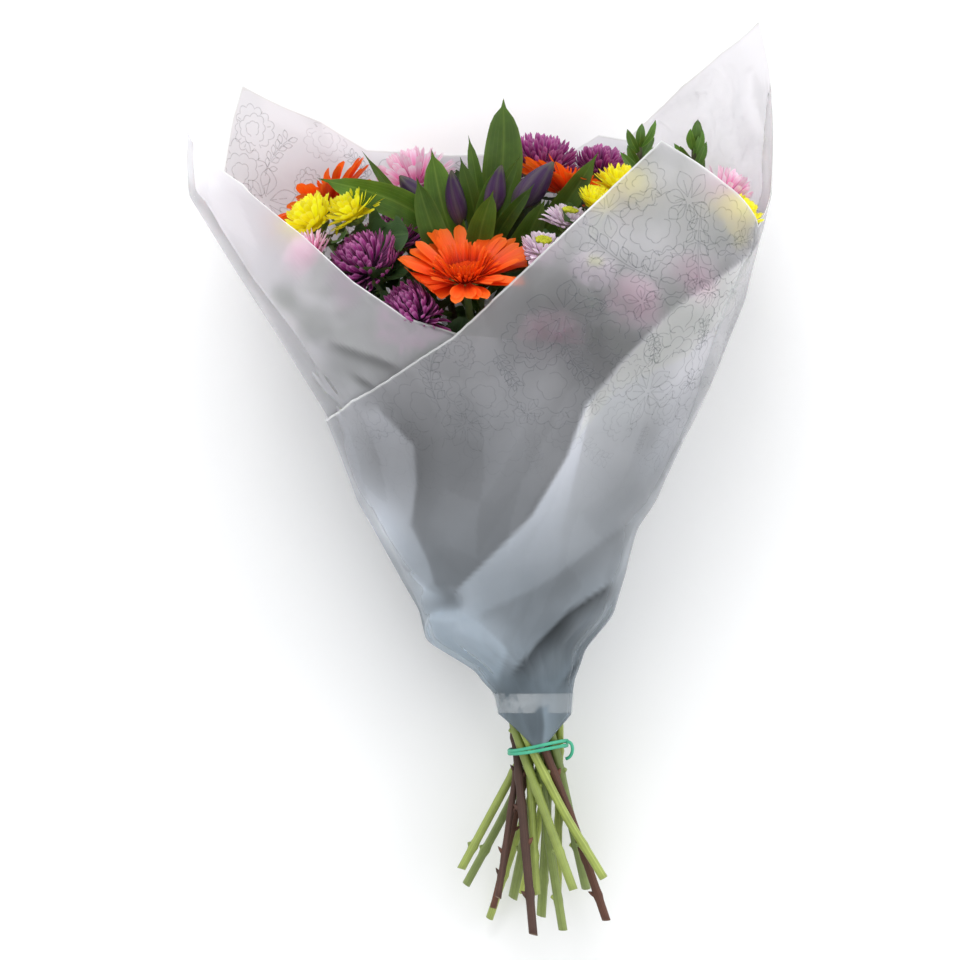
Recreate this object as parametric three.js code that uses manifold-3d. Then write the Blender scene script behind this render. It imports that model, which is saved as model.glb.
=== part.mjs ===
// A mixed flower bouquet in a frosted film wrapper, lying on its back on a table.
// Millimetres. +Y runs along the bouquet from the cut stems to the flower heads, +X is to
// the right seen from above, and +Z is up, from the table at Z = 0 to the wrapper's front.
import * as THREE from "three";
import { mergeVertices } from "three/addons/utils/BufferGeometryUtils.js";
import Module from "manifold-3d";

const wasm = await Module();
wasm.setup();

// Driving dimensions
const TIE_Y = -161; // the rubber band round the stems
const TIE_CENTRE = { x: 35, z: 53 };
const FILM = 0.8; // wrapper film, thicker than the real one
const CLEAR = 0.35; // gap left between neighbouring pieces
const FILM_LAYER = 2.2; // how far the wrapper's spiral grows in one turn
const INSIDE_GAP = 1.9; // from the film's middle to the flowers, with room for its flat facets
const STEM_SIDES = 6;
const BRANCH = 1.7; // radius of a spray's side stems
const PEDICEL = 1.3; // radius of a bud's stalk
const BLADE = 0.9; // thickness of a leaf at its rib
const TROUGH = 0.22; // how far a leaf's edges rise above its rib, by half width
const RINGS = { outer: 12.9, inner: 5.9 }; // where the stems cross the band
const STRAIGHTEN = 0.5; // how much of a stem's bend the band takes
const STATIONS = [0, 0.06, 0.13, 0.25, 0.4, 0.55, 0.7, 0.85, 1]; // along a stem above the band
const SLOT_AT = 2; // a stem's point in the band
const SETTLE_ROUNDS = 150;
const NECK = { top: -70, lower: 14, clear: 1.1 }; // where the wrapper holds the stems in
const STEM_GAP = 0.5; // between stems that press together
const SEAT = 4.2; // how far a stem's end stays below its flower head
const BAND = { height: 5.5, thickness: 1.3, clear: 0.9, tilt: 2 };
const TAPE = { levels: [-140, -129], thickness: 0.7, clear: 0.75 }; // round the wrapper's neck
const DOME_FOCUS = new THREE.Vector3(25, 5, 92); // every head faces away from here

const COLOURS = {
  film: 0xc9ccd0,
  tape: 0xdde2e6,
  band: 0x5cc39c,
  orange: 0xf4601a,
  orangeDisc: 0xd9381a,
  purple: 0x8a2a78,
  yellow: 0xf2e22a,
  pink: 0xe87fb8,
  lilac: 0xe3cfe0,
  lime: 0xb9c23a,
  bud: 0x5a3b72,
  stem: 0x7d9a45,
  bark: 0x6b4636,
};

// The wrapper's form: how far it reaches left, right, back and front at each Y.
const LEFT = [
  [-141, 14], [-129, 13], [-117, 4], [-100, -23], [-78, -34], [-45, -50],
  [-12, -69], [36, -88], [108, -134], [171, -173], [240, -176],
];
const RIGHT = [
  [-141, 54], [-129, 54.5], [-117, 57], [-100, 64], [-78, 77], [-45, 90],
  [-12, 104], [36, 125], [108, 156], [171, 173], [240, 176],
];
const BACK = [
  [-141, 36], [-129, 35], [-117, 32], [-100, 26], [-78, 17], [-45, 9], [-12, 4], [36, 0],
  [80, -3], [250, -3],
];
const FRONT = [
  [-141, 76], [-129, 77], [-117, 82], [-100, 91], [-78, 104], [-45, 122], [-12, 138],
  [36, 158], [108, 180], [171, 193], [250, 197],
];

// The film's turn in degrees, its columns, and the raised corners that a column is moved to.
const WRAP = { start: -24, end: 458, columns: 48, corners: [83, 93, 126, 251, 322.5] };
const WRAP_LEVELS = [-129, -117, -100, -66, -20]; // rows of the film above its bottom edge
const WRAP_UPPER = 3; // rows from there to the top edge
// The top edge: height against degrees, with its four raised corners.
const WRAP_TOP = [
  [-24, 80], [0, 84], [10, 86], [24, 97], [34, 118], [43, 147], [54, 176],
  [70, 194], [83, 211], [93, 172], [117, 178], [122, 216], [126, 236],
  [147, 217], [157, 200], [165, 199], [174, 197], [199, 200], [204, 209],
  [210, 206], [223, 237], [235, 255], [251, 273], [262, 225], [278, 163],
  [284, 152], [304, 176], [322.5, 203], [336, 172], [348, 138], [370, 85],
  [388, 62], [445, 36], [458, 30],
];
// The bottom edge: a pointed tip in front, level elsewhere.
const WRAP_BOTTOM = [
  [-24, -141], [322, -141], [340, -147], [357, -154], [374, -147], [392, -141], [458, -141],
];

// Flower heads: at is X, Y and Z of the head's foot, and face the way that it looks, where
// that isn't straight out of the bouquet.
const HEADS = [
  { name: "gerbera_front", kind: "gerbera", at: [-8, 121, 148], radius: 44, face: [-0.08, 0.86, 0.5] },
  { name: "gerbera_back", kind: "gerbera", at: [-92, 164, 52], radius: 38 },
  { name: "gerbera_right", kind: "gerbera", at: [55, 170, 92], radius: 38, face: [0.38, 0.9, -0.16] },
  { name: "purple_front", kind: "purple", at: [-65, 122, 132], radius: 30 },
  { name: "purple_left", kind: "purple", at: [-52, 136, 100], radius: 27 },
  { name: "purple_low", kind: "purple", at: [-36, 94, 152], radius: 28 },
  { name: "purple_top", kind: "purple", at: [36, 184, 46], radius: 28 },
  { name: "purple_back", kind: "purple", at: [72, 182, 38], radius: 23 },
  { name: "yellow_left", kind: "yellow", at: [-97, 151, 104], radius: 23 },
  { name: "yellow_inner", kind: "yellow", at: [-74, 157, 114], radius: 20 },
  { name: "yellow_front", kind: "yellow", at: [84, 171, 120], radius: 20 },
  { name: "yellow_mid", kind: "yellow", at: [68, 163, 140], radius: 14 },
  { name: "yellow_right", kind: "yellow", at: [151, 152, 110], radius: 22 },
  { name: "yellow_back", kind: "yellow", at: [126, 160, 44], radius: 20 },
  { name: "pink_left", kind: "pink", at: [-99, 132, 128], radius: 19 },
  { name: "pink_back", kind: "pink", at: [-38, 173, 58], radius: 30 },
  { name: "pink_low", kind: "pink", at: [2, 158, 26], radius: 22 },
  { name: "pink_right", kind: "pink", at: [145, 166, 80], radius: 24 },
  { name: "pink_front", kind: "pink", at: [88, 102, 146], radius: 23 },
  { name: "pink_lower", kind: "pink", at: [42, 80, 158], radius: 23 },
  { name: "pink_side", kind: "pink", at: [124, 116, 122], radius: 22 },
  { name: "lilac_top", kind: "lilac", at: [52, 152, 140], radius: 18 },
  { name: "lilac_mid", kind: "lilac", at: [37, 134, 154], radius: 19 },
  { name: "lilac_low", kind: "lilac", at: [66, 122, 156], radius: 18 },
];

// Stems. Each crosses the band in its own slot, a turn in degrees, and all lean the same way
// round, so that they spiral past each other. Cut is the X, Y and Z of the cut end, split the
// height where side stems fork off, and top the tip of a stem that has no head.
const STEMS = [
  {
    name: "stem_gerbera_front", ring: "inner", slot: 20, radius: 3.2, cut: [37, -263, 36],
    heads: ["gerbera_front"],
  },
  {
    name: "stem_gerbera_right", ring: "inner", slot: 308, radius: 3.2, cut: [20, -252, 32],
    heads: ["gerbera_right"],
  },
  {
    name: "stem_alstroemeria", ring: "inner", slot: 92, radius: 3, cut: [50, -271, 44],
    heads: [], top: [0, 130, 98],
  },
  {
    name: "stem_greenery_mid", ring: "inner", slot: 236, radius: 2.2, cut: [8, -258, 44],
    heads: [], top: [98, 212, 72], bark: true,
  },
  {
    name: "stem_purple_back", ring: "inner", slot: 164, radius: 2.8, cut: [34, -250, 58],
    heads: ["purple_top", "purple_back"], split: 70,
  },
  {
    name: "stem_pink_front", ring: "outer", slot: 330, radius: 3, cut: [26, -249, 3.2],
    heads: ["pink_lower", "pink_front", "pink_side"], split: 10,
  },
  {
    name: "stem_yellow_mid", ring: "outer", slot: 298, radius: 2.6, cut: [6, -265, 9],
    heads: ["yellow_front", "yellow_mid"], split: 95,
  },
  {
    name: "stem_lilac", ring: "outer", slot: 2, radius: 2.6, cut: [47, -256, 12],
    heads: ["lilac_top", "lilac_mid", "lilac_low"], split: 70,
  },
  {
    name: "stem_purple_front", ring: "outer", slot: 38, radius: 3.1, cut: [64, -246, 20],
    heads: ["purple_front", "purple_low", "purple_left"], split: 30,
  },
  {
    name: "stem_pink_left", ring: "outer", slot: 74, radius: 2.8, cut: [76, -265, 40],
    heads: ["pink_left"], bark: true,
  },
  {
    name: "stem_yellow_left", ring: "outer", slot: 110, radius: 2.9, cut: [74, -239, 56],
    heads: ["yellow_left", "yellow_inner"], split: 80,
  },
  {
    name: "stem_gerbera_back", ring: "outer", slot: 144, radius: 3, cut: [56, -246, 66],
    heads: ["gerbera_back"],
  },
  {
    name: "stem_pink_back", ring: "outer", slot: 178, radius: 2.9, cut: [32, -273, 72],
    heads: ["pink_back", "pink_low"], split: 80, bark: true,
  },
  {
    name: "stem_greenery_right", ring: "outer", slot: 212, radius: 2.2, cut: [11, -251, 64],
    heads: [], top: [130, 214, 62], bark: true,
  },
  {
    name: "stem_yellow_right", ring: "outer", slot: 240, radius: 2.8, cut: [-11, -234, 45],
    heads: ["yellow_right", "yellow_back"], split: 60,
  },
  {
    name: "stem_pink_right", ring: "outer", slot: 269, radius: 2.8, cut: [-8, -244, 24],
    heads: ["pink_right"],
  },
];

// Half widths along a leaf. A lobed leaf begins with its stalk.
const LEAF_OUTLINES = {
  lance: (half) => [[0, half * 0.16], [0.3, half * 0.7], [0.6, half], [0.84, half * 0.55]],
  sprig: (half) => [[0, half * 0.3], [0.45, half], [0.8, half * 0.65]],
  lobed: (half) => [
    [0, 1], [0.42, 1], [0.52, half * 0.7], [0.6, half * 0.4], [0.74, half], [0.82, half * 0.46],
    [0.9, half * 0.62],
  ],
};

// Leaves that show among the heads: their stem, kind, height on the stem, tip and half width.
const LEAVES = [
  ["stem_alstroemeria", "lance", 127, [13, 228, 92], 11.5],
  ["stem_alstroemeria", "lance", 98, [-31, 197, 116], 9],
  ["stem_alstroemeria", "lance", 78, [-36, 184, 96], 8],
  ["stem_alstroemeria", "lance", 118, [-94, 184, 118], 8],
  ["stem_alstroemeria", "lance", 108, [72, 197, 112], 6.5],
  ["stem_alstroemeria", "lance", 88, [18, 182, 122], 5],
  ["stem_alstroemeria", "lance", 68, [-70, 197, 78], 4],
  ["stem_purple_front", "lobed", 40, [-10, 98, 166], 13],
  ["stem_yellow_left", "lobed", 60, [-124, 116, 100], 12],
  ["stem_pink_front", "lobed", 0, [104, 62, 138], 13],
  ["stem_yellow_right", "lobed", 50, [150, 122, 92], 12],
  ["stem_pink_back", "lobed", 60, [-70, 112, 22], 13],
];
// Buds: name, height of the fork on the alstroemeria's stem, foot, tip and radius.
const BUDS = [
  ["bud_left", 103, [-12, 152, 106], [-14, 181, 112], 5],
  ["bud_centre", 123, [4, 156, 108], [12, 183, 118], 4.6],
  ["bud_right", 113, [16, 152, 106], [38, 186, 114], 6.2],
  ["bud_back", 93, [-22, 150, 90], [-46, 178, 86], 5.4],
];

// Greenery: where along its stem the leaves start and end, their length and their pairs.
const SPRIGS = [
  { stem: "stem_greenery_mid", from: 152, to: 200, leaf: 25, pairs: 4 },
  { stem: "stem_greenery_right", from: 152, to: 202, leaf: 27, pairs: 4 },
];

const HEAD_COLOUR = {
  gerbera: COLOURS.orange,
  purple: COLOURS.purple,
  yellow: COLOURS.yellow,
  pink: COLOURS.pink,
  lilac: COLOURS.lilac,
};

// Plain helpers

function random(seed) {
  let state = seed >>> 0;
  return () => {
    state = (state + 0x6d2b79f5) >>> 0;
    let t = Math.imul(state ^ (state >>> 15), 1 | state);
    t = (t + Math.imul(t ^ (t >>> 7), 61 | t)) ^ t;
    return ((t ^ (t >>> 14)) >>> 0) / 4294967296;
  };
}

// The value at x of a curve through [x, value] points, straight between them.
function along(points, x) {
  if (x <= points[0][0]) return points[0][1];
  for (let i = 1; i < points.length; i++) {
    const [x0, v0] = points[i - 1];
    const [x1, v1] = points[i];
    if (x <= x1) return v0 + ((v1 - v0) * (x - x0)) / (x1 - x0);
  }
  return points[points.length - 1][1];
}

const radians = THREE.MathUtils.degToRad;
const vector = (p) => new THREE.Vector3(...p);

// A closed three.js geometry as a solid that can be cut and joined.
function solidOf(geometry) {
  const plain = geometry.index ? geometry.toNonIndexed() : geometry.clone();
  plain.deleteAttribute("normal");
  plain.deleteAttribute("uv");
  const merged = mergeVertices(plain, 1e-3);
  return new wasm.Manifold(
    new wasm.Mesh({
      numProp: 3,
      vertProperties: merged.attributes.position.array,
      triVerts: new Uint32Array(merged.index.array),
    }),
  );
}

function solid(vertices, triangles) {
  const geometry = new THREE.BufferGeometry();
  geometry.setAttribute("position", new THREE.Float32BufferAttribute(vertices.flat(), 3));
  geometry.setIndex(triangles.flat());
  return solidOf(geometry);
}

// Moves a solid by a three.js matrix.
function moved(body, matrix) {
  return body.transform(matrix.elements);
}

// The largest body of a solid: a cut can leave loose scraps.
function largest(body) {
  const bodies = body.decompose();
  return bodies.reduce((best, b) => (b.volume() > best.volume() ? b : best));
}

function joined(bodies) {
  return bodies.reduce((sum, b) => sum.add(b));
}

const bouquet = new THREE.Group();
bouquet.name = "bouquet";

// Puts a solid into the bouquet as a named mesh.
function place(name, body, colour, roughness = 0.6) {
  const made = body.getMesh();
  const positions = new Float32Array(made.numVert * 3);
  for (let i = 0; i < made.numVert; i++) {
    const at = i * made.numProp;
    positions.set(made.vertProperties.subarray(at, at + 3), i * 3);
  }
  const geometry = new THREE.BufferGeometry();
  geometry.setAttribute("position", new THREE.BufferAttribute(positions, 3));
  geometry.setIndex(new THREE.BufferAttribute(made.triVerts, 1));
  geometry.computeVertexNormals();
  const material = new THREE.MeshStandardMaterial({ color: colour, roughness });
  const mesh = new THREE.Mesh(geometry, material);
  mesh.name = name;
  bouquet.add(mesh);
}

// A point of the wrapper's surface. Degrees run from the front to the left, the back and the
// right, and on past a full turn where the film laps over itself.
function wrapPoint(degrees, y, outward) {
  return sectionPoint(degrees, y, outward + (FILM_LAYER * (degrees - WRAP.start)) / 360);
}

function sectionPoint(degrees, y, grow) {
  const turn = radians(degrees);
  const across = (along(RIGHT, y) - along(LEFT, y)) / 2 + grow;
  const deep = (along(FRONT, y) - along(BACK, y)) / 2 + grow;
  return [
    (along(RIGHT, y) + along(LEFT, y)) / 2 - across * Math.sin(turn),
    y,
    (along(FRONT, y) + along(BACK, y)) / 2 + deep * Math.cos(turn),
  ];
}

function wrapSheet() {
  const angles = [];
  for (let c = 0; c <= WRAP.columns; c++) {
    angles.push(WRAP.start + ((WRAP.end - WRAP.start) * c) / WRAP.columns);
  }
  // The nearest column moves onto each raised corner, so that its point stays sharp.
  for (const corner of WRAP.corners) {
    const step = (WRAP.end - WRAP.start) / WRAP.columns;
    angles[Math.round((corner - WRAP.start) / step)] = corner;
  }
  const vertices = [];
  const rows = WRAP_LEVELS.length + WRAP_UPPER + 1;
  for (const side of [-1, 1]) {
    for (const degrees of angles) {
      const top = along(WRAP_TOP, degrees);
      const bottom = along(WRAP_BOTTOM, degrees);
      const heights = [bottom, ...WRAP_LEVELS];
      const upper = heights[heights.length - 1];
      for (let r = 1; r <= WRAP_UPPER; r++) heights.push(upper + ((top - upper) * r) / WRAP_UPPER);
      for (const y of heights) {
        const p = wrapPoint(degrees, y, (side * FILM) / 2);
        p[2] = Math.max(p[2], side > 0 ? 0 : FILM); // pressed flat where it lies on the table
        vertices.push(p);
      }
    }
  }
  const sheet = angles.length * rows;
  const inner = (c, r) => c * rows + r;
  const outer = (c, r) => sheet + c * rows + r;
  const triangles = [];
  const quad = (a, b, c, d) => triangles.push([a, b, c], [a, c, d]);
  const last = angles.length - 1;
  for (let c = 0; c < last; c++) {
    for (let r = 0; r < rows - 1; r++) {
      quad(outer(c, r), outer(c, r + 1), outer(c + 1, r + 1), outer(c + 1, r));
      quad(inner(c, r), inner(c + 1, r), inner(c + 1, r + 1), inner(c, r + 1));
    }
    quad(outer(c, 0), outer(c + 1, 0), inner(c + 1, 0), inner(c, 0));
    quad(outer(c, rows - 1), inner(c, rows - 1), inner(c + 1, rows - 1), outer(c + 1, rows - 1));
  }
  for (let r = 0; r < rows - 1; r++) {
    quad(outer(0, r), inner(0, r), inner(0, r + 1), outer(0, r + 1));
    quad(outer(last, r), outer(last, r + 1), inner(last, r + 1), inner(last, r));
  }
  return solid(vertices, triangles);
}

// The space inside the wrapper, which every flower and leaf keeps to.
function wrapInside() {
  const levels = [-141, -118, -100, -78, -45, -12, 36, 72, 108, 140, 171, 300];
  const sides = 36;
  const vertices = [];
  for (const y of levels) {
    for (let s = 0; s < sides; s++) {
      const p = sectionPoint((360 * s) / sides, y, -INSIDE_GAP);
      p[2] = Math.max(p[2], FILM + CLEAR);
      vertices.push(p);
    }
  }
  const triangles = [];
  for (let l = 0; l < levels.length - 1; l++) {
    for (let s = 0; s < sides; s++) {
      const n = (s + 1) % sides;
      const a = l * sides + s;
      const b = l * sides + n;
      const c = (l + 1) * sides + n;
      const d = (l + 1) * sides + s;
      triangles.push([a, d, c], [a, c, b]);
    }
  }
  const top = (levels.length - 1) * sides;
  for (let s = 1; s < sides - 1; s++) {
    triangles.push([0, s, s + 1], [top, top + s + 1, top + s]);
  }
  return solid(vertices, triangles);
}

// A closed ring round the stems or the film. Section gives the ring's radius and middle at a
// height, and the ring follows it through its levels.
function ring(levels, section, thickness, sides, tilt = 0) {
  const vertices = [];
  const loop = [...levels.map((y) => [y, 0]), ...[...levels].reverse().map((y) => [y, thickness])];
  for (let s = 0; s < sides; s++) {
    const turn = (2 * Math.PI * s) / sides;
    for (const [y, out] of loop) {
      const { x, z, across, deep } = section(y);
      vertices.push([
        x + (across + out) * Math.cos(turn), y + tilt * Math.cos(turn), z + (deep + out) * Math.sin(turn),
      ]);
    }
  }
  const triangles = [];
  const size = loop.length;
  for (let s = 0; s < sides; s++) {
    for (let k = 0; k < size; k++) {
      const a = s * size + k;
      const b = s * size + ((k + 1) % size);
      const c = ((s + 1) % sides) * size + ((k + 1) % size);
      const d = ((s + 1) % sides) * size + k;
      triangles.push([a, c, b], [a, d, c]);
    }
  }
  return solid(vertices, triangles);
}

// Where the film's outermost layer runs at a height, with room for its flat facets.
function roundFilm(y) {
  const grow = (FILM_LAYER * (WRAP.end - WRAP.start)) / 360 + FILM / 2 + TAPE.clear;
  return {
    x: (along(LEFT, y) + along(RIGHT, y)) / 2,
    z: (along(BACK, y) + along(FRONT, y)) / 2,
    across: (along(RIGHT, y) - along(LEFT, y)) / 2 + grow,
    deep: (along(FRONT, y) - along(BACK, y)) / 2 + grow,
  };
}

function roundStems() {
  const radius = RINGS.outer + Math.max(...STEMS.map((stem) => stem.radius)) + BAND.clear;
  return { ...TIE_CENTRE, across: radius, deep: radius };
}

// A flower head grown from one low body: each band of the body carries a ring of petals.
// The body's foot is at the origin and it faces +Z. A band is [reach, lift at the root,
// lift at the tip, width share, blunt], and the rings are [radius, height] from the foot up.
function petalHead(count, rings, bands, thick, draw) {
  const vertices = [];
  const triangles = [];
  const quad = (a, b, c, d) => triangles.push([a, b, c], [a, c, d]);
  const add = (v) => vertices.push([v.x, v.y, v.z]) - 1;
  const step = (2 * Math.PI) / count;
  rings.forEach(([radius, height], j) => {
    for (let i = 0; i < count; i++) {
      const turn = step * (i + j / 2);
      vertices.push([radius * Math.cos(turn), radius * Math.sin(turn), height]);
    }
  });
  const at = (j, i) => j * count + (i % count);
  bands.forEach((band, j) => {
    for (let i = 0; i < count; i++) {
      const root = [at(j, i), at(j, i + 1), at(j + 1, i + 1), at(j + 1, i)];
      if (!band) {
        quad(...root);
        continue;
      }
      const [reach, lift0, lift1, share, blunt] = band;
      const corner = root.map((k) => new THREE.Vector3(...vertices[k]));
      const middle = corner.reduce((s, v) => s.add(v), new THREE.Vector3()).divideScalar(4);
      const turn = Math.atan2(middle.y, middle.x);
      const out = new THREE.Vector3(Math.cos(turn), Math.sin(turn), 0);
      const side = new THREE.Vector3(-Math.sin(turn), Math.cos(turn), 0);
      const length = reach * (0.94 + 0.12 * draw());
      const wobble = (draw() - 0.5) * 6;
      const spot = middle.clone();
      let before = root;
      const stations = blunt ? [0.5, 0.86] : [0.5];
      let gone = 0;
      for (const s of stations) {
        const lift = radians(lift0 + (lift1 - lift0) * s + wobble);
        const ahead = out.clone().multiplyScalar(Math.cos(lift));
        ahead.z = Math.sin(lift);
        spot.addScaledVector(ahead, length * (s - gone));
        gone = s;
        const distance = Math.hypot(spot.x, spot.y);
        const room = share * distance * Math.tan(step / 2); // up to its neighbour
        const half = Math.min(room, reach * 0.3) * (s > 0.7 ? 0.72 : 1);
        const upward = new THREE.Vector3().crossVectors(ahead, side);
        const section = [
          [-1, -1], [1, -1], [1, 1], [-1, 1],
        ].map(([w, h]) =>
          add(spot.clone().addScaledVector(side, w * half).addScaledVector(upward, (h * thick) / 2)),
        );
        for (let k = 0; k < 4; k++) {
          quad(before[k], before[(k + 1) % 4], section[(k + 1) % 4], section[k]);
        }
        before = section;
      }
      const lift = radians(lift1 + wobble);
      const ahead = out.clone().multiplyScalar(Math.cos(lift));
      ahead.z = Math.sin(lift);
      const tip = add(spot.clone().addScaledVector(ahead, length * (1 - gone)));
      for (let k = 0; k < 4; k++) triangles.push([before[k], before[(k + 1) % 4], tip]);
    }
  });
  const foot = add(new THREE.Vector3(0, 0, rings[0][1]));
  const crown = add(new THREE.Vector3(0, 0, crownHeight(rings)));
  for (let i = 0; i < count; i++) {
    triangles.push([foot, at(0, i + 1), at(0, i)]);
    triangles.push([crown, at(rings.length - 1, i), at(rings.length - 1, i + 1)]);
  }
  return solid(vertices, triangles);
}

// The top of a head's body, which is a low cone.
function crownHeight(rings) {
  return rings[rings.length - 1][1] + 0.15 * rings[0][0];
}

const gerberaRings = (radius) => [[radius * 0.2, 0], [radius * 0.28, 2.4], [radius * 0.27, 5]];

function gerberaHead(radius, draw) {
  const bands = [
    [radius * 0.74, 4, 12, 0.93, true],
    [radius * 0.52, 26, 24, 0.9],
  ];
  return petalHead(18, gerberaRings(radius), bands, 0.9, draw);
}

function mumHead(radius, count, draw) {
  const rings = [
    [radius * 0.34, 0], [radius * 0.46, radius * 0.22], [radius * 0.42, radius * 0.48],
    [radius * 0.2, radius * 0.66],
  ];
  const bands = [
    [radius * 0.56, 0, 14, 0.95],
    [radius * 0.5, 28, 40, 0.95],
    [radius * 0.42, 56, 78, 0.9],
  ];
  return petalHead(count, rings, bands, 1.1, draw);
}

const daisyRings = (radius) => [
  [radius * 0.3, 0], [radius * 0.4, radius * 0.16], [radius * 0.38, radius * 0.32],
  [radius * 0.34, radius * 0.4],
];

function daisyHead(radius, count, draw) {
  const bands = [
    [radius * 0.62, 2, 8, 0.95],
    [radius * 0.52, 24, 34, 0.95],
    null,
  ];
  return petalHead(count, daisyRings(radius), bands, 1.1, draw);
}

// The domed centre that sits on a head: rings of florets as a raised relief.
function centreDome(radius, height) {
  const profile = [
    [0, 0], [radius * 0.9, 0], [radius, height * 0.35], [radius * 0.82, height * 0.9],
    [radius * 0.45, height * 0.8], [0, height * 0.62],
  ].map(([r, h]) => new THREE.Vector2(r, h));
  const geometry = new THREE.LatheGeometry(profile, 9);
  geometry.rotateX(Math.PI / 2);
  return solidOf(geometry);
}

function headMatrix(head) {
  const foot = new THREE.Vector3(...head.at);
  const facing = head.face
    ? new THREE.Vector3(...head.face).normalize()
    : foot.clone().sub(DOME_FOCUS).normalize();
  const turn = new THREE.Quaternion().setFromUnitVectors(new THREE.Vector3(0, 0, 1), facing);
  const matrix = new THREE.Matrix4().compose(foot, turn, new THREE.Vector3(1, 1, 1));
  return { matrix, facing, foot };
}

function headBody(head, draw) {
  if (head.kind === "gerbera") return gerberaHead(head.radius, draw);
  if (head.kind === "lilac") return daisyHead(head.radius, 9, draw);
  return mumHead(head.radius, Math.round(4.4 + head.radius / 7), draw);
}

// How hard a head presses: the broad flat gerberas keep more of their round.
function spread(head) {
  return head.radius * (head.kind === "gerbera" ? 1.35 : 1);
}

// Cuts both of two close heads back to the plane between them, as petals press together.
function pressTogether(heads) {
  heads.forEach((a, i) => {
    heads.slice(i + 1).forEach((b) => {
      const gap = b.middle.clone().sub(a.middle);
      const distance = gap.length();
      if (distance > a.radius + b.radius) return;
      gap.divideScalar(distance);
      const share = spread(a) / (spread(a) + spread(b));
      const plane = a.middle.dot(gap) + distance * share;
      a.body = a.body.trimByPlane([-gap.x, -gap.y, -gap.z], -(plane - CLEAR / 2));
      b.body = b.body.trimByPlane([gap.x, gap.y, gap.z], plane + CLEAR / 2);
    });
  });
}

// A row of points as a path, with one section of the bar at each point.
class Row extends THREE.Curve {
  constructor(points) {
    super();
    this.points = points;
  }
  getPointAt(share) {
    return this.points[Math.round(share * (this.points.length - 1))].clone();
  }
  getTangentAt(share) {
    const at = Math.round(share * (this.points.length - 1));
    const after = this.points[Math.min(at + 1, this.points.length - 1)];
    return after.clone().sub(this.points[Math.max(at - 1, 0)]).normalize();
  }
}

// A bar of even thickness through a row of points.
function bar(points, radius) {
  const shape = new THREE.Shape();
  for (let s = 0; s < STEM_SIDES; s++) {
    const turn = (2 * Math.PI * s) / STEM_SIDES;
    const corner = [radius * Math.cos(turn), radius * Math.sin(turn)];
    if (s) shape.lineTo(...corner);
    else shape.moveTo(...corner);
  }
  shape.closePath();
  const extrudePath = new Row(points);
  return solidOf(new THREE.ExtrudeGeometry(shape, { steps: points.length - 1, extrudePath }));
}

// The middle line of a stem, from its cut end through its slot to its first flower head.
function stemLine(stem, target) {
  const turn = radians(stem.slot);
  const slot = new THREE.Vector3(
    TIE_CENTRE.x + RINGS[stem.ring] * Math.cos(turn),
    TIE_Y,
    TIE_CENTRE.z + RINGS[stem.ring] * Math.sin(turn),
  );
  const cut = vector(stem.cut);
  const height = target.foot.y - TIE_Y;
  const rise = slot.clone().sub(cut).normalize();
  rise.lerp(target.foot.clone().sub(slot).normalize(), STRAIGHTEN);
  const up = new THREE.CubicBezierCurve3(
    slot,
    slot.clone().addScaledVector(rise, height * 0.34),
    target.foot.clone().addScaledVector(target.facing, -height * 0.28),
    target.foot.clone().addScaledVector(target.facing, -SEAT),
  );
  const below = [0, 0.5].map((share) => cut.clone().lerp(slot, share));
  return { up, points: [...below, ...STATIONS.map((t) => up.getPoint(t))] };
}

// The nearest points of two straight pieces, as shares along each.
function nearest(a0, a1, b0, b1) {
  const u = a1.clone().sub(a0);
  const v = b1.clone().sub(b0);
  const w = a0.clone().sub(b0);
  const [a, b, c, d, e] = [u.dot(u), u.dot(v), v.dot(v), u.dot(w), v.dot(w)];
  const limit = (t) => Math.min(1, Math.max(0, t));
  const bottom = a * c - b * b;
  let s = bottom > 1e-9 ? limit((b * e - c * d) / bottom) : 0.5;
  const t = limit((b * s + e) / c);
  s = limit((b * t - d) / a);
  const gap = w.addScaledVector(u, s).addScaledVector(v, -t);
  return { s, t, gap };
}

// Pushes the strands apart wherever two come too close, as packed stems do. A branch stays
// on its parent. Cut ends, slots and the ends at the flower heads are held.
function settle(strands) {
  for (let round = 0; round < SETTLE_ROUNDS; round++) {
    strands.forEach((a, i) => {
      strands.slice(i + 1).forEach((b) => {
        if (a.stem === b.stem) return;
        const need = a.radius + b.radius + STEM_GAP;
        for (let m = 0; m < a.points.length - 1; m++) {
          for (let n = 0; n < b.points.length - 1; n++) {
            if (Math.abs(a.points[m].y - b.points[n].y) > 110) continue;
            const near = nearest(a.points[m], a.points[m + 1], b.points[n], b.points[n + 1]);
            const distance = near.gap.length();
            if (distance >= need || distance < 1e-6) continue;
            const push = near.gap.multiplyScalar((0.6 * (need - distance)) / distance);
            const move = (strand, at, share) => {
              if (!strand.held.has(at)) strand.points[at].addScaledVector(push, share);
            };
            move(a, m, 1 - near.s);
            move(a, m + 1, near.s);
            move(b, n, near.t - 1);
            move(b, n + 1, -near.t);
          }
        }
      });
    });
    for (const strand of strands) {
      strand.points.forEach((point, at) => {
        if (!strand.held.has(at)) keepInNeck(point, strand.radius);
      });
      if (strand.parent) strand.points[0].copy(strand.parent.points[strand.fork]);
    }
  }
}

// Keeps a point of a stem inside the wrapper's neck, up to where it has widened. The neck is
// read a little lower down, because it flares between one point of a stem and the next.
function keepInNeck(point, radius) {
  if (point.y < TIE_Y + 3 || point.y > NECK.top) return;
  const y = point.y - NECK.lower;
  const x = (along(LEFT, y) + along(RIGHT, y)) / 2;
  const z = (along(BACK, y) + along(FRONT, y)) / 2;
  const room = (along(FRONT, y) - along(BACK, y)) / 2 - radius - NECK.clear;
  const away = Math.hypot(point.x - x, point.z - z);
  if (away <= room) return;
  point.x = x + ((point.x - x) * room) / away;
  point.z = z + ((point.z - z) * room) / away;
}

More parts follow.
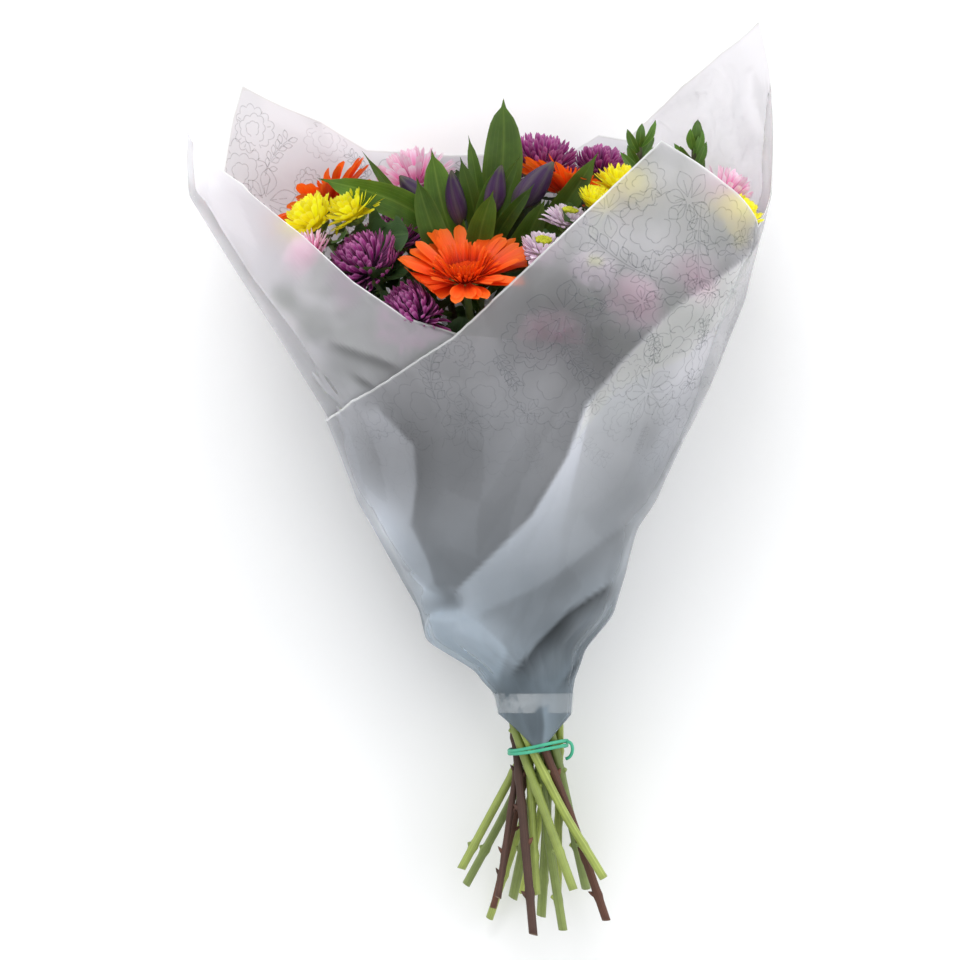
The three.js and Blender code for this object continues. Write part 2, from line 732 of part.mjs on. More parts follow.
// A green cup under a head, wide enough to cover the foot of its body.
function calyx(target, radius) {
  const profile = [[0, -7], [1.8, -7], [radius, -CLEAR], [0, -CLEAR]].map(
    ([r, h]) => new THREE.Vector2(r, h),
  );
  const geometry = new THREE.LatheGeometry(profile, 7);
  geometry.rotateX(Math.PI / 2);
  return moved(solidOf(geometry), target.matrix);
}

// A leaf as one thin trough-shaped blade that bows by sag. Outline is [share of the length,
// half width], and the blade's face is turned towards up.
function blade(root, tip, up, outline, sag) {
  const length = root.distanceTo(tip);
  const ahead = tip.clone().sub(root).divideScalar(length);
  const side = new THREE.Vector3().crossVectors(ahead, up).normalize();
  const face = new THREE.Vector3().crossVectors(side, ahead).normalize();
  const point = (share, across, rise) =>
    root
      .clone()
      .addScaledVector(ahead, share * length)
      .addScaledVector(side, across)
      .addScaledVector(face, 4 * sag * share * (1 - share) + rise);
  const vertices = [];
  const triangles = [];
  const add = (v) => vertices.push([v.x, v.y, v.z]) - 1;
  let before = null;
  for (const [share, half] of outline) {
    const section = [
      add(point(share, -half, half * TROUGH)),
      add(point(share, 0, BLADE / 2)),
      add(point(share, half, half * TROUGH)),
      add(point(share, 0, -BLADE / 2)),
    ];
    if (before) {
      for (let k = 0; k < 4; k++) {
        const n = (k + 1) % 4;
        triangles.push([before[k], before[n], section[n]], [before[k], section[n], section[k]]);
      }
    } else {
      triangles.push([section[0], section[2], section[1]], [section[0], section[3], section[2]]);
    }
    before = section;
  }
  const end = add(point(1, 0, 0));
  for (let k = 0; k < 4; k++) triangles.push([before[k], before[(k + 1) % 4], end]);
  return solid(vertices, triangles);
}

// The point of a stem's middle line at a height.
function onStem(name, y) {
  const { points } = strands.find((strand) => strand.stem === name && !strand.parent);
  const after = Math.max(1, points.findIndex((point) => point.y > y));
  const [low, high] = [points[after - 1], points[after]];
  return low.clone().lerp(high, (y - low.y) / (high.y - low.y));
}

function makeBlades() {
  const found = new Map(STEMS.map((s) => [s.name, []]));
  const front = new THREE.Vector3(0, -0.25, 1);
  for (const [stem, kind, y, tip, half] of LEAVES) {
    const outline = LEAF_OUTLINES[kind](half);
    found.get(stem).push(blade(onStem(stem, y), vector(tip), front, outline, 3));
  }
  for (const [, height, foot, tip] of BUDS) {
    const root = onStem("stem_alstroemeria", height);
    const end = vector(foot).addScaledVector(vector(tip).sub(vector(foot)).normalize(), -CLEAR);
    const elbow = root.clone().lerp(end, 0.5);
    elbow.y += 6;
    found.get("stem_alstroemeria").push(bar([root, elbow, end], PEDICEL));
  }
  for (const { stem, from, to, leaf, pairs } of SPRIGS) {
    for (let i = 0; i < 2 * pairs; i++) {
      const hand = i % 2 ? 1 : -1;
      const root = onStem(stem, from + ((to - from) * i) / (2 * pairs - 1));
      const spread = new THREE.Vector3(hand * 0.64, 0.78, 0.1).normalize();
      const tip = root.clone().addScaledVector(spread, leaf);
      found.get(stem).push(blade(root, tip, front, LEAF_OUTLINES.sprig(leaf * 0.17), 2));
    }
  }
  return found;
}

function bud(root, tip, radius) {
  const length = root.distanceTo(tip);
  const profile = [
    [0, 0], [radius * 0.55, 0.5], [radius, length * 0.45], [radius * 0.7, length * 0.8],
    [0, length],
  ].map(([r, h]) => new THREE.Vector2(r, h));
  const geometry = new THREE.LatheGeometry(profile, 7);
  const turn = new THREE.Quaternion().setFromUnitVectors(
    new THREE.Vector3(0, 1, 0), tip.clone().sub(root).normalize(),
  );
  const matrix = new THREE.Matrix4().compose(root, turn, new THREE.Vector3(1, 1, 1));
  return moved(solidOf(geometry), matrix);
}

// A smooth blunt shape round a head, a little larger, that leaves and stems keep out of.
function keepOut(head) {
  const flat = head.kind === "gerbera";
  const radius = head.radius + 0.6;
  const high = flat ? radius * 0.42 : radius * 0.95;
  const low = flat ? 2 : 1.5;
  const profile = [
    [0, -CLEAR], [radius * (flat ? 0.3 : 0.36), -CLEAR], [radius, low], [radius * 0.86, high * 0.7],
    [radius * 0.5, high], [0, high],
  ].map(([r, h]) => new THREE.Vector2(r, h));
  const geometry = new THREE.LatheGeometry(profile, 8);
  geometry.rotateX(Math.PI / 2);
  return moved(solidOf(geometry), head.matrix);
}

const inside = wrapInside();

const heads = HEADS.map((head, index) => {
  const { matrix, facing, foot } = headMatrix(head);
  const body = moved(headBody(head, random(index + 11)), matrix);
  const rise = head.kind === "gerbera" ? 0.16 : 0.4;
  const middle = foot.clone().addScaledVector(facing, head.radius * rise);
  return { ...head, matrix, facing, foot, middle, body };
});
pressTogether(heads);
const byName = new Map(heads.map((head) => [head.name, head]));

// Every stem and branch as a strand, settled against the others.
const strands = [];
for (const stem of STEMS) {
  const targets = stem.heads.map((name) => byName.get(name));
  const main = targets[0] || { foot: vector(stem.top), facing: new THREE.Vector3(0, 1, 0) };
  const { up, points } = stemLine(stem, main);
  const held = new Set([0, SLOT_AT, points.length - 1]);
  const trunk = { stem: stem.name, radius: stem.radius, points, held };
  strands.push(trunk);
  for (const target of targets.slice(1)) {
    const fork = points.findIndex((point) => point.y > stem.split);
    const root = points[fork];
    const reach = root.distanceTo(target.foot);
    const line = new THREE.CubicBezierCurve3(
      root.clone(),
      root.clone().addScaledVector(up.getTangent(STATIONS[fork - SLOT_AT]), reach * 0.3),
      target.foot.clone().addScaledVector(target.facing, -reach * 0.4),
      target.foot.clone().addScaledVector(target.facing, -SEAT),
    );
    strands.push({
      stem: stem.name, radius: BRANCH, points: line.getPoints(4), held: new Set([0, 4]),
      parent: trunk, fork,
    });
  }
}
settle(strands);

// The room that a stem takes: its strands with a small gap round them.
function stemRoom(stem) {
  const own = strands.filter((strand) => strand.stem === stem.name);
  return joined(own.map((strand) => bar(strand.points, strand.radius + CLEAR)));
}

const calyxRadius = (head) => head.radius * (head.kind === "gerbera" ? 0.19 : 0.31);

const rooms = STEMS.map(stemRoom);
for (const head of heads) {
  let kept = rooms.reduce((body, room) => body.subtract(room), head.body.intersect(inside));
  for (const other of heads) {
    if (other !== head) kept = kept.subtract(calyx(other, calyxRadius(other) + CLEAR));
  }
  place(head.name, largest(kept), HEAD_COLOUR[head.kind]);
}

function makeStem(stem) {
  const parts = strands
    .filter((strand) => strand.stem === stem.name)
    .map((strand) => bar(strand.points, strand.radius));
  for (const name of stem.heads) {
    const head = byName.get(name);
    parts.push(calyx(head, calyxRadius(head)));
  }
  return joined(parts);
}

const stems = STEMS.map((stem) => ({ ...stem, body: makeStem(stem) }));
const blades = makeBlades();
const outs = heads.map(keepOut);
const budRooms = [];

for (const [name, , foot, tip, radius] of BUDS) {
  const body = bud(vector(foot), vector(tip), radius);
  place(name, largest(outs.reduce((b, out) => b.subtract(out), body)), COLOURS.bud);
  budRooms.push(bud(vector(foot), vector(tip), radius + CLEAR));
}

for (const stem of stems) {
  let body = stem.body;
  for (const leaf of blades.get(stem.name)) {
    let kept = leaf.intersect(inside);
    for (const out of [...outs, ...budRooms]) kept = kept.subtract(out);
    for (const other of stems) {
      if (other !== stem) kept = kept.subtract(other.body);
    }
    body = body.add(kept);
  }
  place(stem.name, largest(body), stem.bark ? COLOURS.bark : COLOURS.stem);
}

// The raised centres of the gerberas and the lilac daisies.
function placeCentre(head, rings, share, height, name, colour) {
  const lifted = new THREE.Matrix4().makeTranslation(0, 0, crownHeight(rings) + CLEAR);
  const dome = moved(centreDome(head.radius * share, height), head.matrix.clone().multiply(lifted));
  place(head.name + name, dome, colour);
}

for (const head of heads) {
  if (head.kind === "gerbera") {
    placeCentre(head, gerberaRings(head.radius), 0.25, 3.2, "_disc", COLOURS.orangeDisc);
  }
  if (head.kind === "lilac") {
    placeCentre(head, daisyRings(head.radius), 0.24, 2.2, "_eye", COLOURS.lime);
  }
}

place("wrap", wrapSheet(), COLOURS.film, 0.45);
place("neck_tape", ring(TAPE.levels, roundFilm, TAPE.thickness, 20), COLOURS.tape, 0.25);
const bandLevels = [TIE_Y - BAND.height / 2, TIE_Y + BAND.height / 2];
place("rubber_band", ring(bandLevels, roundStems, BAND.thickness, 20, BAND.tilt), COLOURS.band, 0.5);

export default bouquet;
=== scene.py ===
"""A mixed flower bouquet in a frosted film wrapper, lying on its back on a pale floor.

Every table and function here works in millimetres. Piece.done() turns them into metres.
"""

import math

import bmesh
import bpy
import numpy as np
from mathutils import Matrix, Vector


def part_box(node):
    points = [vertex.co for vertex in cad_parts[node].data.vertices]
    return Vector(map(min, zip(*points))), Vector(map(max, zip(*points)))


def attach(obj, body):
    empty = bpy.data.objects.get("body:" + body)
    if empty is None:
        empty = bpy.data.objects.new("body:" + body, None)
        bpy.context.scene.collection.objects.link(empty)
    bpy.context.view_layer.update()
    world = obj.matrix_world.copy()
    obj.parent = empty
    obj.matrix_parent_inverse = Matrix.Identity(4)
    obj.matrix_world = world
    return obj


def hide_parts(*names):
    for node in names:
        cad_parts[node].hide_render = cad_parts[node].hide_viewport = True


MM = 0.001
SEED = 41

# The wrapper's form: how far it reaches left, right, back and front at each Y.
LEFT = [
    (-165, 19), (-141, 14), (-129, 12), (-122, 5), (-115, 1), (-97, -28), (-78, -31), (-45, -50),
    (-12, -69), (36, -88), (108, -134), (171, -173), (240, -176), (280, -176),
]
RIGHT = [
    (-165, 51), (-141, 53), (-129, 54), (-118, 55), (-102, 60), (-82, 76), (-54, 86), (-29, 92),
    (-15, 101), (36, 125), (108, 156), (171, 173), (240, 176), (280, 176),
]
BACK = [
    (-165, 38), (-141, 36), (-129, 35), (-117, 32), (-100, 26), (-78, 17), (-45, 9), (-12, 4), (36, 0),
    (80, -3), (165, -3), (188, 2.5), (250, 6),
]
FRONT = [
    (-170, 67.0), (-156, 67.2), (-149, 71), (-141, 75.6), (-129, 77), (-117, 82), (-100, 91),
    (-78, 104), (-45, 122), (-12, 138), (36, 158), (108, 180), (171, 193), (250, 197),
]
# The top and bottom edges: height against the turn round the wrapper in degrees.
TOP_EDGE = [
    (-24, 80), (0, 84), (10, 86), (24, 97), (34, 118), (43, 147), (54, 176),
    (70, 194), (83, 211), (93, 172), (117, 178), (122, 217), (126, 238),
    (147, 217), (157, 200), (165, 199), (174, 197), (199, 200), (204, 209),
    (210, 206), (223, 238), (235, 258), (251, 276), (262, 226), (278, 163),
    (284, 152), (304, 177), (322.5, 201.5),
]
BOTTOM = {"height": -141, "tip": -164.5, "tip_turn": 358}
# The free edge of the front flap, by X and Y, from its top corner down to the left.
FLAP_EDGE = [(106, 201.5), (-15, 85), (-88, 36), (-102, 27)]
FILM = {"start": -24, "end": 458, "columns": 350, "rows": 112, "thickness": 0.3}
SPARSE = [(0.26, 78), (0.46, 270)]  # the share of columns up to two turns, sparser between them
FLAP = 322.5  # where the turn reaches the flap's top corner
FILM_LAYER = 2.2  # how far the wrapper's spiral grows in one turn
ROUNDING = 3  # how far up and down the wrapper's form is smoothed
CLEAR = 0.1  # the film's gap to the floor
BORDER = 1.1  # width of the white strip along the top edge
INK = 0.7  # width of the print's lines
INK_OFF = 0.12  # how far they stand off the film's face
INK_EDGE = BORDER * 1.2  # how far below the top edge they end
# Print: how many motifs, their step round the film, between which turns and heights they lie,
# and their least and greatest radius.
PRINT = {"count": 300, "step": 0.6180339887, "turns": (104, 452), "heights": (8, 244),
         "radius": (9, 26)}
INK_OUTSIDE = 196  # from this turn on the print lies on the film's outside
PRESS = 3.4  # how far flowers and leaves stay inside the film's middle
# From which share of the wrapper's half width on they are pressed in, and into what room.
PRESSED = {"from": 0.92, "room": 0.08}
LOWEST = 1.0  # and how far above the floor they stay

# Creases in the film's front: X and Y from end to end, then by their left and right side the
# width and how much lighter the film is painted there as light and shade, with the height between.
FOLDS = [
    ([(172, 150), (145, 128), (109, 102), (77, 69), (59, 45), (49, 15), (29, -21), (1, -54), (-14, -73)],
     26, -0.14, 8.0, 44, 0.32),
    ([(-85, 28), (-53, -29), (-32, -56), (-14, -73)], 9, 0.24, 2.2, 16, 0.16),
    ([(-62, 48), (-36, 21), (-34, -3), (-37, -27), (-14, -73)], 30, 0.14, 2.6, 16, -0.10),
    ([(88, -21), (60, -44), (30, -66), (-4, -84)], 22, 0.02, 3.0, 15, -0.10),
    ([(78, -58), (50, -78), (32, -98), (17, -122)], 14, 0.12, 3.4, 12, -0.42),
    ([(60, -102), (50, -116), (43, -129)], 5, 0.10, 1.4, 6, -0.30),
    ([(-14, -73), (4, -88), (17, -102), (13, -128)], 36, 0.42, 1.8, 14, 0.12),
    ([(-29, -96), (-6, -92), (14, -104)], 9, -0.06, 1.6, 7, 0.06),
    ([(-92, 84), (-70, 76), (-42, 66)], 7, -0.26, 2.0, 13, 0.05),
    ([(-78, 65), (-68, 60), (-56, 53)], 4, -0.34, 1.4, 8, 0.04),
    ([(-108, 72), (-94, 56), (-79, 43)], 4, -0.14, 1.5, 6, 0.08),
    ([(-93, 68), (-83, 55), (-76, 45)], 3, -0.16, 1.1, 5, 0.06),
    ([(36, -128), (38, -148), (36, -175)], 10, -0.06, 1.2, 9, 0.42),
    ([(23, -129), (28, -146), (34, -160)], 4, 0.08, 0.8, 5, -0.08),
    ([(96, -29), (88, -54), (78, -82)], 9, 0.10, 1.6, 4, -0.05),
]
SOFT_SIDE = 3  # over what width a crease's left side turns into its right one
# Places of painted light and shade in the film's front: X, Y, reach and how much lighter they are
# painted.
PAINTED_SHADE_PLACES = [
    (-20, 20, 58, -0.20), (-58, -30, 22, 0.22), (48, -96, 15, -0.20), (-8, -98, 22, 0.26),
    (48, -62, 18, -0.06), (54, 92, 34, -0.22), (136, 108, 26, -0.05),
    (74, 146, 26, 0.20), (76, 4, 30, -0.07),
]
# Painted light and shade on the sheets that stand up round the heads: how much lighter, by the turn.
SHEET_PAINTED_SHADE = [
    (20, 0.04), (40, 0.03), (100, 0.03), (122, -0.07), (150, -0.07), (200, -0.02), (225, -0.06),
    (290, -0.05), (310, -0.02), (330, -0.12), (360, -0.12), (410, -0.06), (458, 0.02),
]
HIDDEN_EDGE_SHADE = {"turn": 22, "tone": -0.3}  # the inner end of the top edge, which the flap covers, painted darker as the flap's shade
MARKED = (-150, 300)  # the height where the film's first mark is 0, and over what height it grows
# Where things begin on the way up the film: height, and over what height they grow.
RISES = {"waves": (-124, 50), "folds": (-127, 16), "folds_end": (-112, 66), "flatter": (30, 90),
         "sheets": (20, 110), "print": (-10, 110)}
# Waves round the film: height, how many go round, length up the film and phase.
WAVES = [(0.5, 5, 31, 0.7), (0.3, 9, -23, 2.1), (0.15, 17, 17, 4.0)]
GATHERS = [(0.9, 8.5, 34, 0.0), (0.4, 14, -21, 0.0)]  # the same for the folds above the neck
# Flat panels between fine creases: how many go round and up before they repeat, their height,
# how far they stand out and how much their painted light and shade differ.
PANELS = {"around": 26, "up": 12, "height": 36, "lift": 3.0, "tone": 0.03}

# The tape's ends, its layer over the film by the turn, and how far it stands off.
TAPE = {"low": -140.2, "high": -128.4, "off": 0.75, "thickness": 0.25,
        "layers": [(0, 2.35), (98, 2.95), (118, 1.1), (360, 2.35)]}
# The band's two turns: phase of their wave, offset and slope. Then half its thickness and width,
# and its loose loop's radius and ends, from the middle of the band's right side.
BAND = {"turns": [(0.0, 0.9, 3.0), (0.5, -1.6, 2.4)], "thick": 0.7, "wide": 1.05,
        "loop": 1.0, "ends": [(-1.5, 3, 6), (-1.5, -7, 3)]}

# Flower heads by kind and place: foot, radius, and the way they face unless it is straight out.
DOME_FOCUS = (25, 5, 92)  # straight out is away from here
HEADS = [
    ("gerbera_front", (-9, 120, 148), 44, (-0.1, 0.88, 0.46)),
    ("gerbera_back", (-92, 164, 52), 38, None),
    ("gerbera_right", (55, 170, 92), 38, (0.38, 0.9, -0.16)),
    ("purple_front", (-65, 122, 132), 30, None),
    ("purple_left", (-52, 136, 100), 27, None),
    ("purple_low", (-36, 94, 152), 28, None),
    ("purple_top", (36, 184, 46), 28, None),
    ("purple_back", (72, 182, 38), 23, None),
    ("yellow_left", (-97, 151, 104), 23, None),
    ("yellow_inner", (-74, 157, 114), 20, None),
    ("yellow_front", (84, 171, 120), 20, None),
    ("yellow_mid", (68, 163, 140), 14, None),
    ("yellow_right", (151, 152, 110), 22, None),
    ("yellow_back", (126, 160, 44), 20, None),
    ("pink_left", (-99, 132, 128), 19, None),
    ("pink_back", (-38, 173, 58), 30, None),
    ("pink_low", (2, 158, 26), 22, None),
    ("pink_right", (145, 166, 80), 24, None),
    ("pink_front", (88, 102, 146), 23, None),
    ("pink_lower", (42, 80, 158), 23, None),
    ("pink_side", (124, 116, 122), 22, None),
    ("lilac_top", (52, 152, 140), 18, None),
    ("lilac_mid", (37, 134, 154), 19, None),
    ("lilac_low", (66, 122, 156), 18, None),
]

# Petals in rings from the outside in, by the head's radius: how many, the radius and height
# of their foot, length, width, lift in degrees at foot, middle and tip, and how far the sides
# roll up at foot and tip.
RINGS = {
    "gerbera": [
        (24, 0.22, 0.00, 0.80, 0.185, (11, 16, 6), (0.5, 0.35)),
        (23, 0.22, 0.03, 0.76, 0.175, (17, 22, 13), (0.5, 0.35)),
        (40, 0.25, 0.07, 0.30, 0.052, (28, 36, 26), (0.7, 0.5)),
        (40, 0.25, 0.10, 0.28, 0.050, (46, 54, 46), (0.7, 0.5)),
        (36, 0.23, 0.14, 0.28, 0.046, (60, 68, 54), (0.7, 0.5)),
    ],
    "purple": [
        (36, 0.32, 0.02, 0.66, 0.125, (-10, -2, 10), (1.1, 0.7)),
        (36, 0.36, 0.10, 0.62, 0.125, (4, 14, 30), (1.1, 0.7)),
        (35, 0.38, 0.18, 0.57, 0.122, (16, 28, 50), (1.1, 0.8)),
        (33, 0.38, 0.26, 0.53, 0.120, (28, 42, 68), (1.1, 0.9)),
        (30, 0.35, 0.34, 0.49, 0.116, (40, 56, 86), (1.1, 1.0)),
        (25, 0.30, 0.42, 0.45, 0.112, (52, 70, 104), (1.1, 1.1)),
        (20, 0.23, 0.48, 0.41, 0.110, (64, 84, 122), (1.1, 1.2)),
        (14, 0.15, 0.52, 0.37, 0.106, (74, 96, 138), (1.1, 1.3)),
        (8, 0.07, 0.55, 0.33, 0.100, (84, 106, 150), (1.1, 1.3)),
    ],
    "yellow": [
        (25, 0.30, 0.04, 0.70, 0.204, (-6, 2, -6), (0.6, 0.25)),
        (25, 0.34, 0.13, 0.67, 0.201, (10, 18, 18), (0.6, 0.25)),
        (22, 0.35, 0.22, 0.62, 0.194, (25, 35, 42), (0.6, 0.3)),
        (20, 0.32, 0.31, 0.56, 0.184, (40, 52, 66), (0.6, 0.4)),
        (17, 0.26, 0.39, 0.50, 0.170, (54, 70, 90), (0.7, 0.5)),
        (13, 0.17, 0.46, 0.43, 0.156, (68, 86, 114), (0.7, 0.7)),
        (7, 0.08, 0.50, 0.36, 0.136, (80, 100, 136), (0.8, 0.8)),
    ],
    "pink": [
        (23, 0.30, 0.05, 0.70, 0.168, (-6, 3, -4), (0.9, 0.4)),
        (23, 0.33, 0.14, 0.67, 0.164, (12, 20, 16), (0.9, 0.4)),
        (21, 0.33, 0.23, 0.62, 0.160, (28, 37, 38), (0.9, 0.5)),
        (18, 0.29, 0.32, 0.57, 0.152, (44, 54, 62), (0.9, 0.6)),
        (14, 0.22, 0.41, 0.50, 0.144, (60, 72, 88), (0.9, 0.7)),
        (9, 0.12, 0.47, 0.42, 0.133, (76, 88, 114), (0.9, 0.9)),
    ],
    "lilac": [
        (22, 0.26, 0.02, 0.72, 0.185, (-2, 5, -2), (0.8, 0.4)),
        (21, 0.28, 0.08, 0.68, 0.180, (12, 19, 14), (0.8, 0.4)),
        (19, 0.28, 0.14, 0.60, 0.175, (26, 34, 34), (0.8, 0.5)),
        (16, 0.26, 0.20, 0.48, 0.165, (42, 52, 58), (0.8, 0.6)),
        (13, 0.24, 0.24, 0.36, 0.150, (56, 66, 78), (0.8, 0.7)),
    ],
}

DISC_SINK = 3.0  # how far a gerbera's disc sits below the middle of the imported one
# A petal's outline: width of its foot, and where it is widest and starts to round at the tip.
PETAL = (0.5, 0.75, 0.8)
STRAP = (0.42, 0.62, 0.76)
LOOSE = {"gerbera": 1.4, "purple": 1.7}  # how far petals stray from their ring, by kind
# Centres: end of the node's name, material, slot, radius by the head's, height, how many florets
# and their radius by the centre's.
CENTRES = {
    "gerbera": ("_disc", "disc", "orange_disc", 0.2, 3.2, 150, 0.1),
    "lilac": ("_eye", "lime", "lime_centre", 0.24, 2.2, 70, 0.13),
}
# The solid middle of a head, as radius and height by the head's radius. A lilac's is the low one.
CORE = [(0, 0), (0.3, 0.01), (0.36, 0.18), (0.3, 0.4), (0.15, 0.54), (0, 0.56)]
LOW_CORE = [(0, 0), (0.26, 0.01), (0.28, 0.1), (0.24, 0.2), (0, 0.24)]

# Stems: radius, whether it is woody, its heads, or the point where it ends without one.
STEMS = {
    "gerbera_front": (3.2, False, ["gerbera_front"], None),
    "gerbera_right": (3.2, False, ["gerbera_right"], None),
    "gerbera_back": (3.0, False, ["gerbera_back"], None),
    "alstroemeria": (3.0, False, [], (0, 130, 98)),
    "greenery_mid": (2.2, True, [], (96, 200, 74)),
    "greenery_right": (2.2, True, [], (129, 202, 64)),
    "purple_back": (2.8, False, ["purple_top", "purple_back"], None),
    "purple_front": (3.1, False, ["purple_front", "purple_low", "purple_left"], None),
    "pink_front": (3.0, False, ["pink_lower", "pink_front", "pink_side"], None),
    "pink_left": (2.8, True, ["pink_left"], None),
    "pink_back": (2.9, True, ["pink_back", "pink_low"], None),
    "pink_right": (2.8, False, ["pink_right"], None),
    "yellow_mid": (2.6, False, ["yellow_front", "yellow_mid"], None),
    "yellow_left": (2.9, False, ["yellow_left", "yellow_inner"], None),
    "yellow_right": (2.8, False, ["yellow_right", "yellow_back"], None),
    "lilac": (2.6, False, ["lilac_top", "lilac_mid", "lilac_low"], None),
}
PACKED_TO = -4  # up to this height a stem follows its packed bar
FORK = 62  # height where a spray's side stems leave it
BRANCH = 1.5  # radius of a spray's side stem
SQUEEZE = 3.0  # over which depth petals crowd together at a neighbouring head
LAST_JOINT = 110  # how far up a stem its joints carry buds or stubs
# A joint's bud on a woody stem, or its stub on a green one: radius by the stem's, and height.
JOINT_BUD = [(0, -1), (0.62, -0.6), (0.5, 1.4), (0.2, 3.4), (0, 4.2)]
JOINT_STUB = [(0, -1), (0.5, -0.6), (0.42, 1.6), (0.36, 2.2), (0, 2.3)]
CUP = {"gerbera": 0.22, "other": 0.33}  # radius of the cup under a head, by the head's
SEAT = 3.5  # how far a stem's end stays below its flower head

# Leaves by stem: kind, height of the foot, tip, half width and how far they bow sideways.
LEAVES = {
    "alstroemeria": [
        ("lance", 127, (14, 229, 92), 12, 3),
        ("lance", 118, (-97, 181, 118), 10, 15),
        ("lance", 110, (-29, 198, 124), 10.5, -4),
        ("lance", 98, (-38, 181, 128), 8.5, -6),
        ("lance", 88, (-71, 198, 86), 4, 6),
        ("lance", 122, (-12, 194, 122), 5.5, 3),
        ("lance", 116, (9, 187, 132), 4.5, -3),
        ("lance", 120, (24, 194, 130), 5, -5),
        ("lance", 114, (8, 172, 140), 8, -3),
        ("lance", 112, (39, 168, 142), 8.5, 4),
        ("lance", 108, (33, 178, 130), 5, -4),
        ("lance", 104, (71, 197, 126), 8, 6),
        ("lance", 118, (-7, 207, 96), 4.5, 2),
        ("lobed", 88, (-58, 168, 70), 13, 4),
        ("lobed", 92, (-16, 186, 62), 13, -3),
        ("lobed", 90, (30, 180, 66), 13, 4),
        ("lobed", 84, (62, 168, 64), 13, -4),
    ],
    "purple_front": [
        ("lobed", 40, (-10, 98, 166), 13, 0),
    ],
    "yellow_left": [
        ("lobed", 60, (-124, 116, 100), 12, 0),
    ],
    "pink_front": [
        ("lobed", 0, (104, 62, 138), 13, 0),
    ],
    "yellow_right": [
        ("lobed", 50, (150, 122, 92), 12, 0),
    ],
    "pink_back": [
        ("lobed", 60, (-70, 112, 22), 13, 0),
    ],
}
# Leaves on each stem inside the wrapper, which stay within a share of its half width.
INNER_LEAVES = {"each": 26, "from": -78, "to": 142, "reach": 48, "half": 15, "inside": 0.93}
# Buds: name, height where the stalk leaves the stem, foot, tip and radius.
BUDS = [
    ("bud_left", 103, (-12, 152, 112), (-17, 185, 127), 6.0),
    ("bud_centre", 123, (5, 158, 116), (13, 188, 132), 6.4),
    ("bud_right", 113, (20, 162, 116), (44, 190, 124), 8.2),
    ("bud_back", 93, (-27, 157, 104), (-48, 182, 112), 7.6),
]
# Sprigs: between which heights leaves grow, their length and how many pairs.
SPRIGS = {"greenery_mid": (138, 196, 21, 9), "greenery_right": (140, 198, 21, 9)}
# Leaves under a head: how many, how far below it, and by its radius their reach and half width.
HEAD_LEAVES = {"each": 5, "below": 10, "reach": 1.15, "half": 0.42}

# The camera: how wide a field it sees at a height, and how far above that it stands.
VIEW = {"field": 576, "height": 92, "distance": 8000}
WORLD = {"colour": (0.98, 0.99, 1.0, 1), "strength": 0.95}
FLOOR = 6.0  # metres from the middle to the floor's sides
LIT = (0, 0.05, 0.08)  # where the lamps point, in metres
# Lamps: name, place in metres, size and power.
LAMPS = [("key", (-0.5, 2.3, 1.7), 1.8, 42), ("side", (2.2, 0.3, 1.3), 1.2, 16)]


def rgb(code):
    """A colour code such as "f4601a" as the linear colour that shaders take."""
    values = [int(code[i : i + 2], 16) / 255 for i in (0, 2, 4)]
    return [v / 12.92 if v <= 0.04045 else ((v + 0.055) / 1.055) ** 2.4 for v in values] + [1]


def unit(v):
    v = np.asarray(v, float)
    return v / np.linalg.norm(v, axis=-1, keepdims=True)


def smooth(t):
    t = np.clip(t, 0, 1)
    return t * t * (3 - 2 * t)


def stacked(*parts):
    """Arrays broadcast against each other, as the parts of a new last axis."""
    return np.stack(np.broadcast_arrays(*parts), -1)


def value_at(table, place):
    """The table's value at a place, in proportion between its rows."""
    places, values = zip(*table)
    return np.interp(place, places, values)


def rising(name, y):
    start, over = RISES[name]
    return smooth((y - start) / over)


def random_of(name):
    """The same draws for the same name on every run."""
    return np.random.default_rng([SEED, *name.encode()])


class Piece:
    """Gathers grids of points and makes them one Blender object."""

    def __init__(self, name):
        self.name = name
        self.points, self.marks, self.faces, self.slots = [], [], [], []
        self.materials = []
        self.total = 0

    def grids(self, points, marks, material, around=False):
        """Adds grids of count × rows × columns points, which close on themselves if around.

        A mark is what the materials read at a point: along, across and a draw of its own.
        """
        count, rows, columns = points.shape[:3]
        row, column = np.meshgrid(
            np.arange(rows - 1), np.arange(columns if around else columns - 1), indexing="ij"
        )
        near = row * columns + column
        after = row * columns + (column + 1) % columns
        face = np.stack([near, after, after + columns, near + columns], -1).reshape(-1, 4)
        starts = self.total + np.arange(count) * rows * columns
        self.faces.append((face[None] + starts[:, None, None]).reshape(-1, 4))
        self.points.append(points.reshape(-1, 3))
        self.marks.append(np.broadcast_to(marks, points.shape).reshape(-1, 3))
        if material not in self.materials:
            self.materials.append(material)
        self.slots.append(np.full(count * len(face), self.materials.index(material)))
        self.total += count * rows * columns

    def done(self, slot, *nodes):
        mesh = bpy.data.meshes.new(self.name)
        points = np.concatenate(self.points) * MM
        mesh.from_pydata(points.tolist(), [], np.concatenate(self.faces).tolist())
        marks = np.c_[np.concatenate(self.marks), np.ones(len(points))]
        mesh.color_attributes.new("mark", "FLOAT_COLOR", "POINT")
        mesh.color_attributes["mark"].data.foreach_set("color", marks.ravel())
        mesh.polygons.foreach_set("material_index", np.concatenate(self.slots))
        work = bmesh.new()
        work.from_mesh(mesh)
        bmesh.ops.remove_doubles(work, verts=work.verts, dist=1e-7)
        work.to_mesh(mesh)
        work.free()
        mesh.shade_smooth()
        for material in self.materials:
            mesh.materials.append(MATERIALS[material])
        made = bpy.data.objects.new(self.name, mesh)
        bpy.context.collection.objects.link(made)
        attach(made, "root")
        if nodes:
            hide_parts(*nodes)
        return made


# Materials


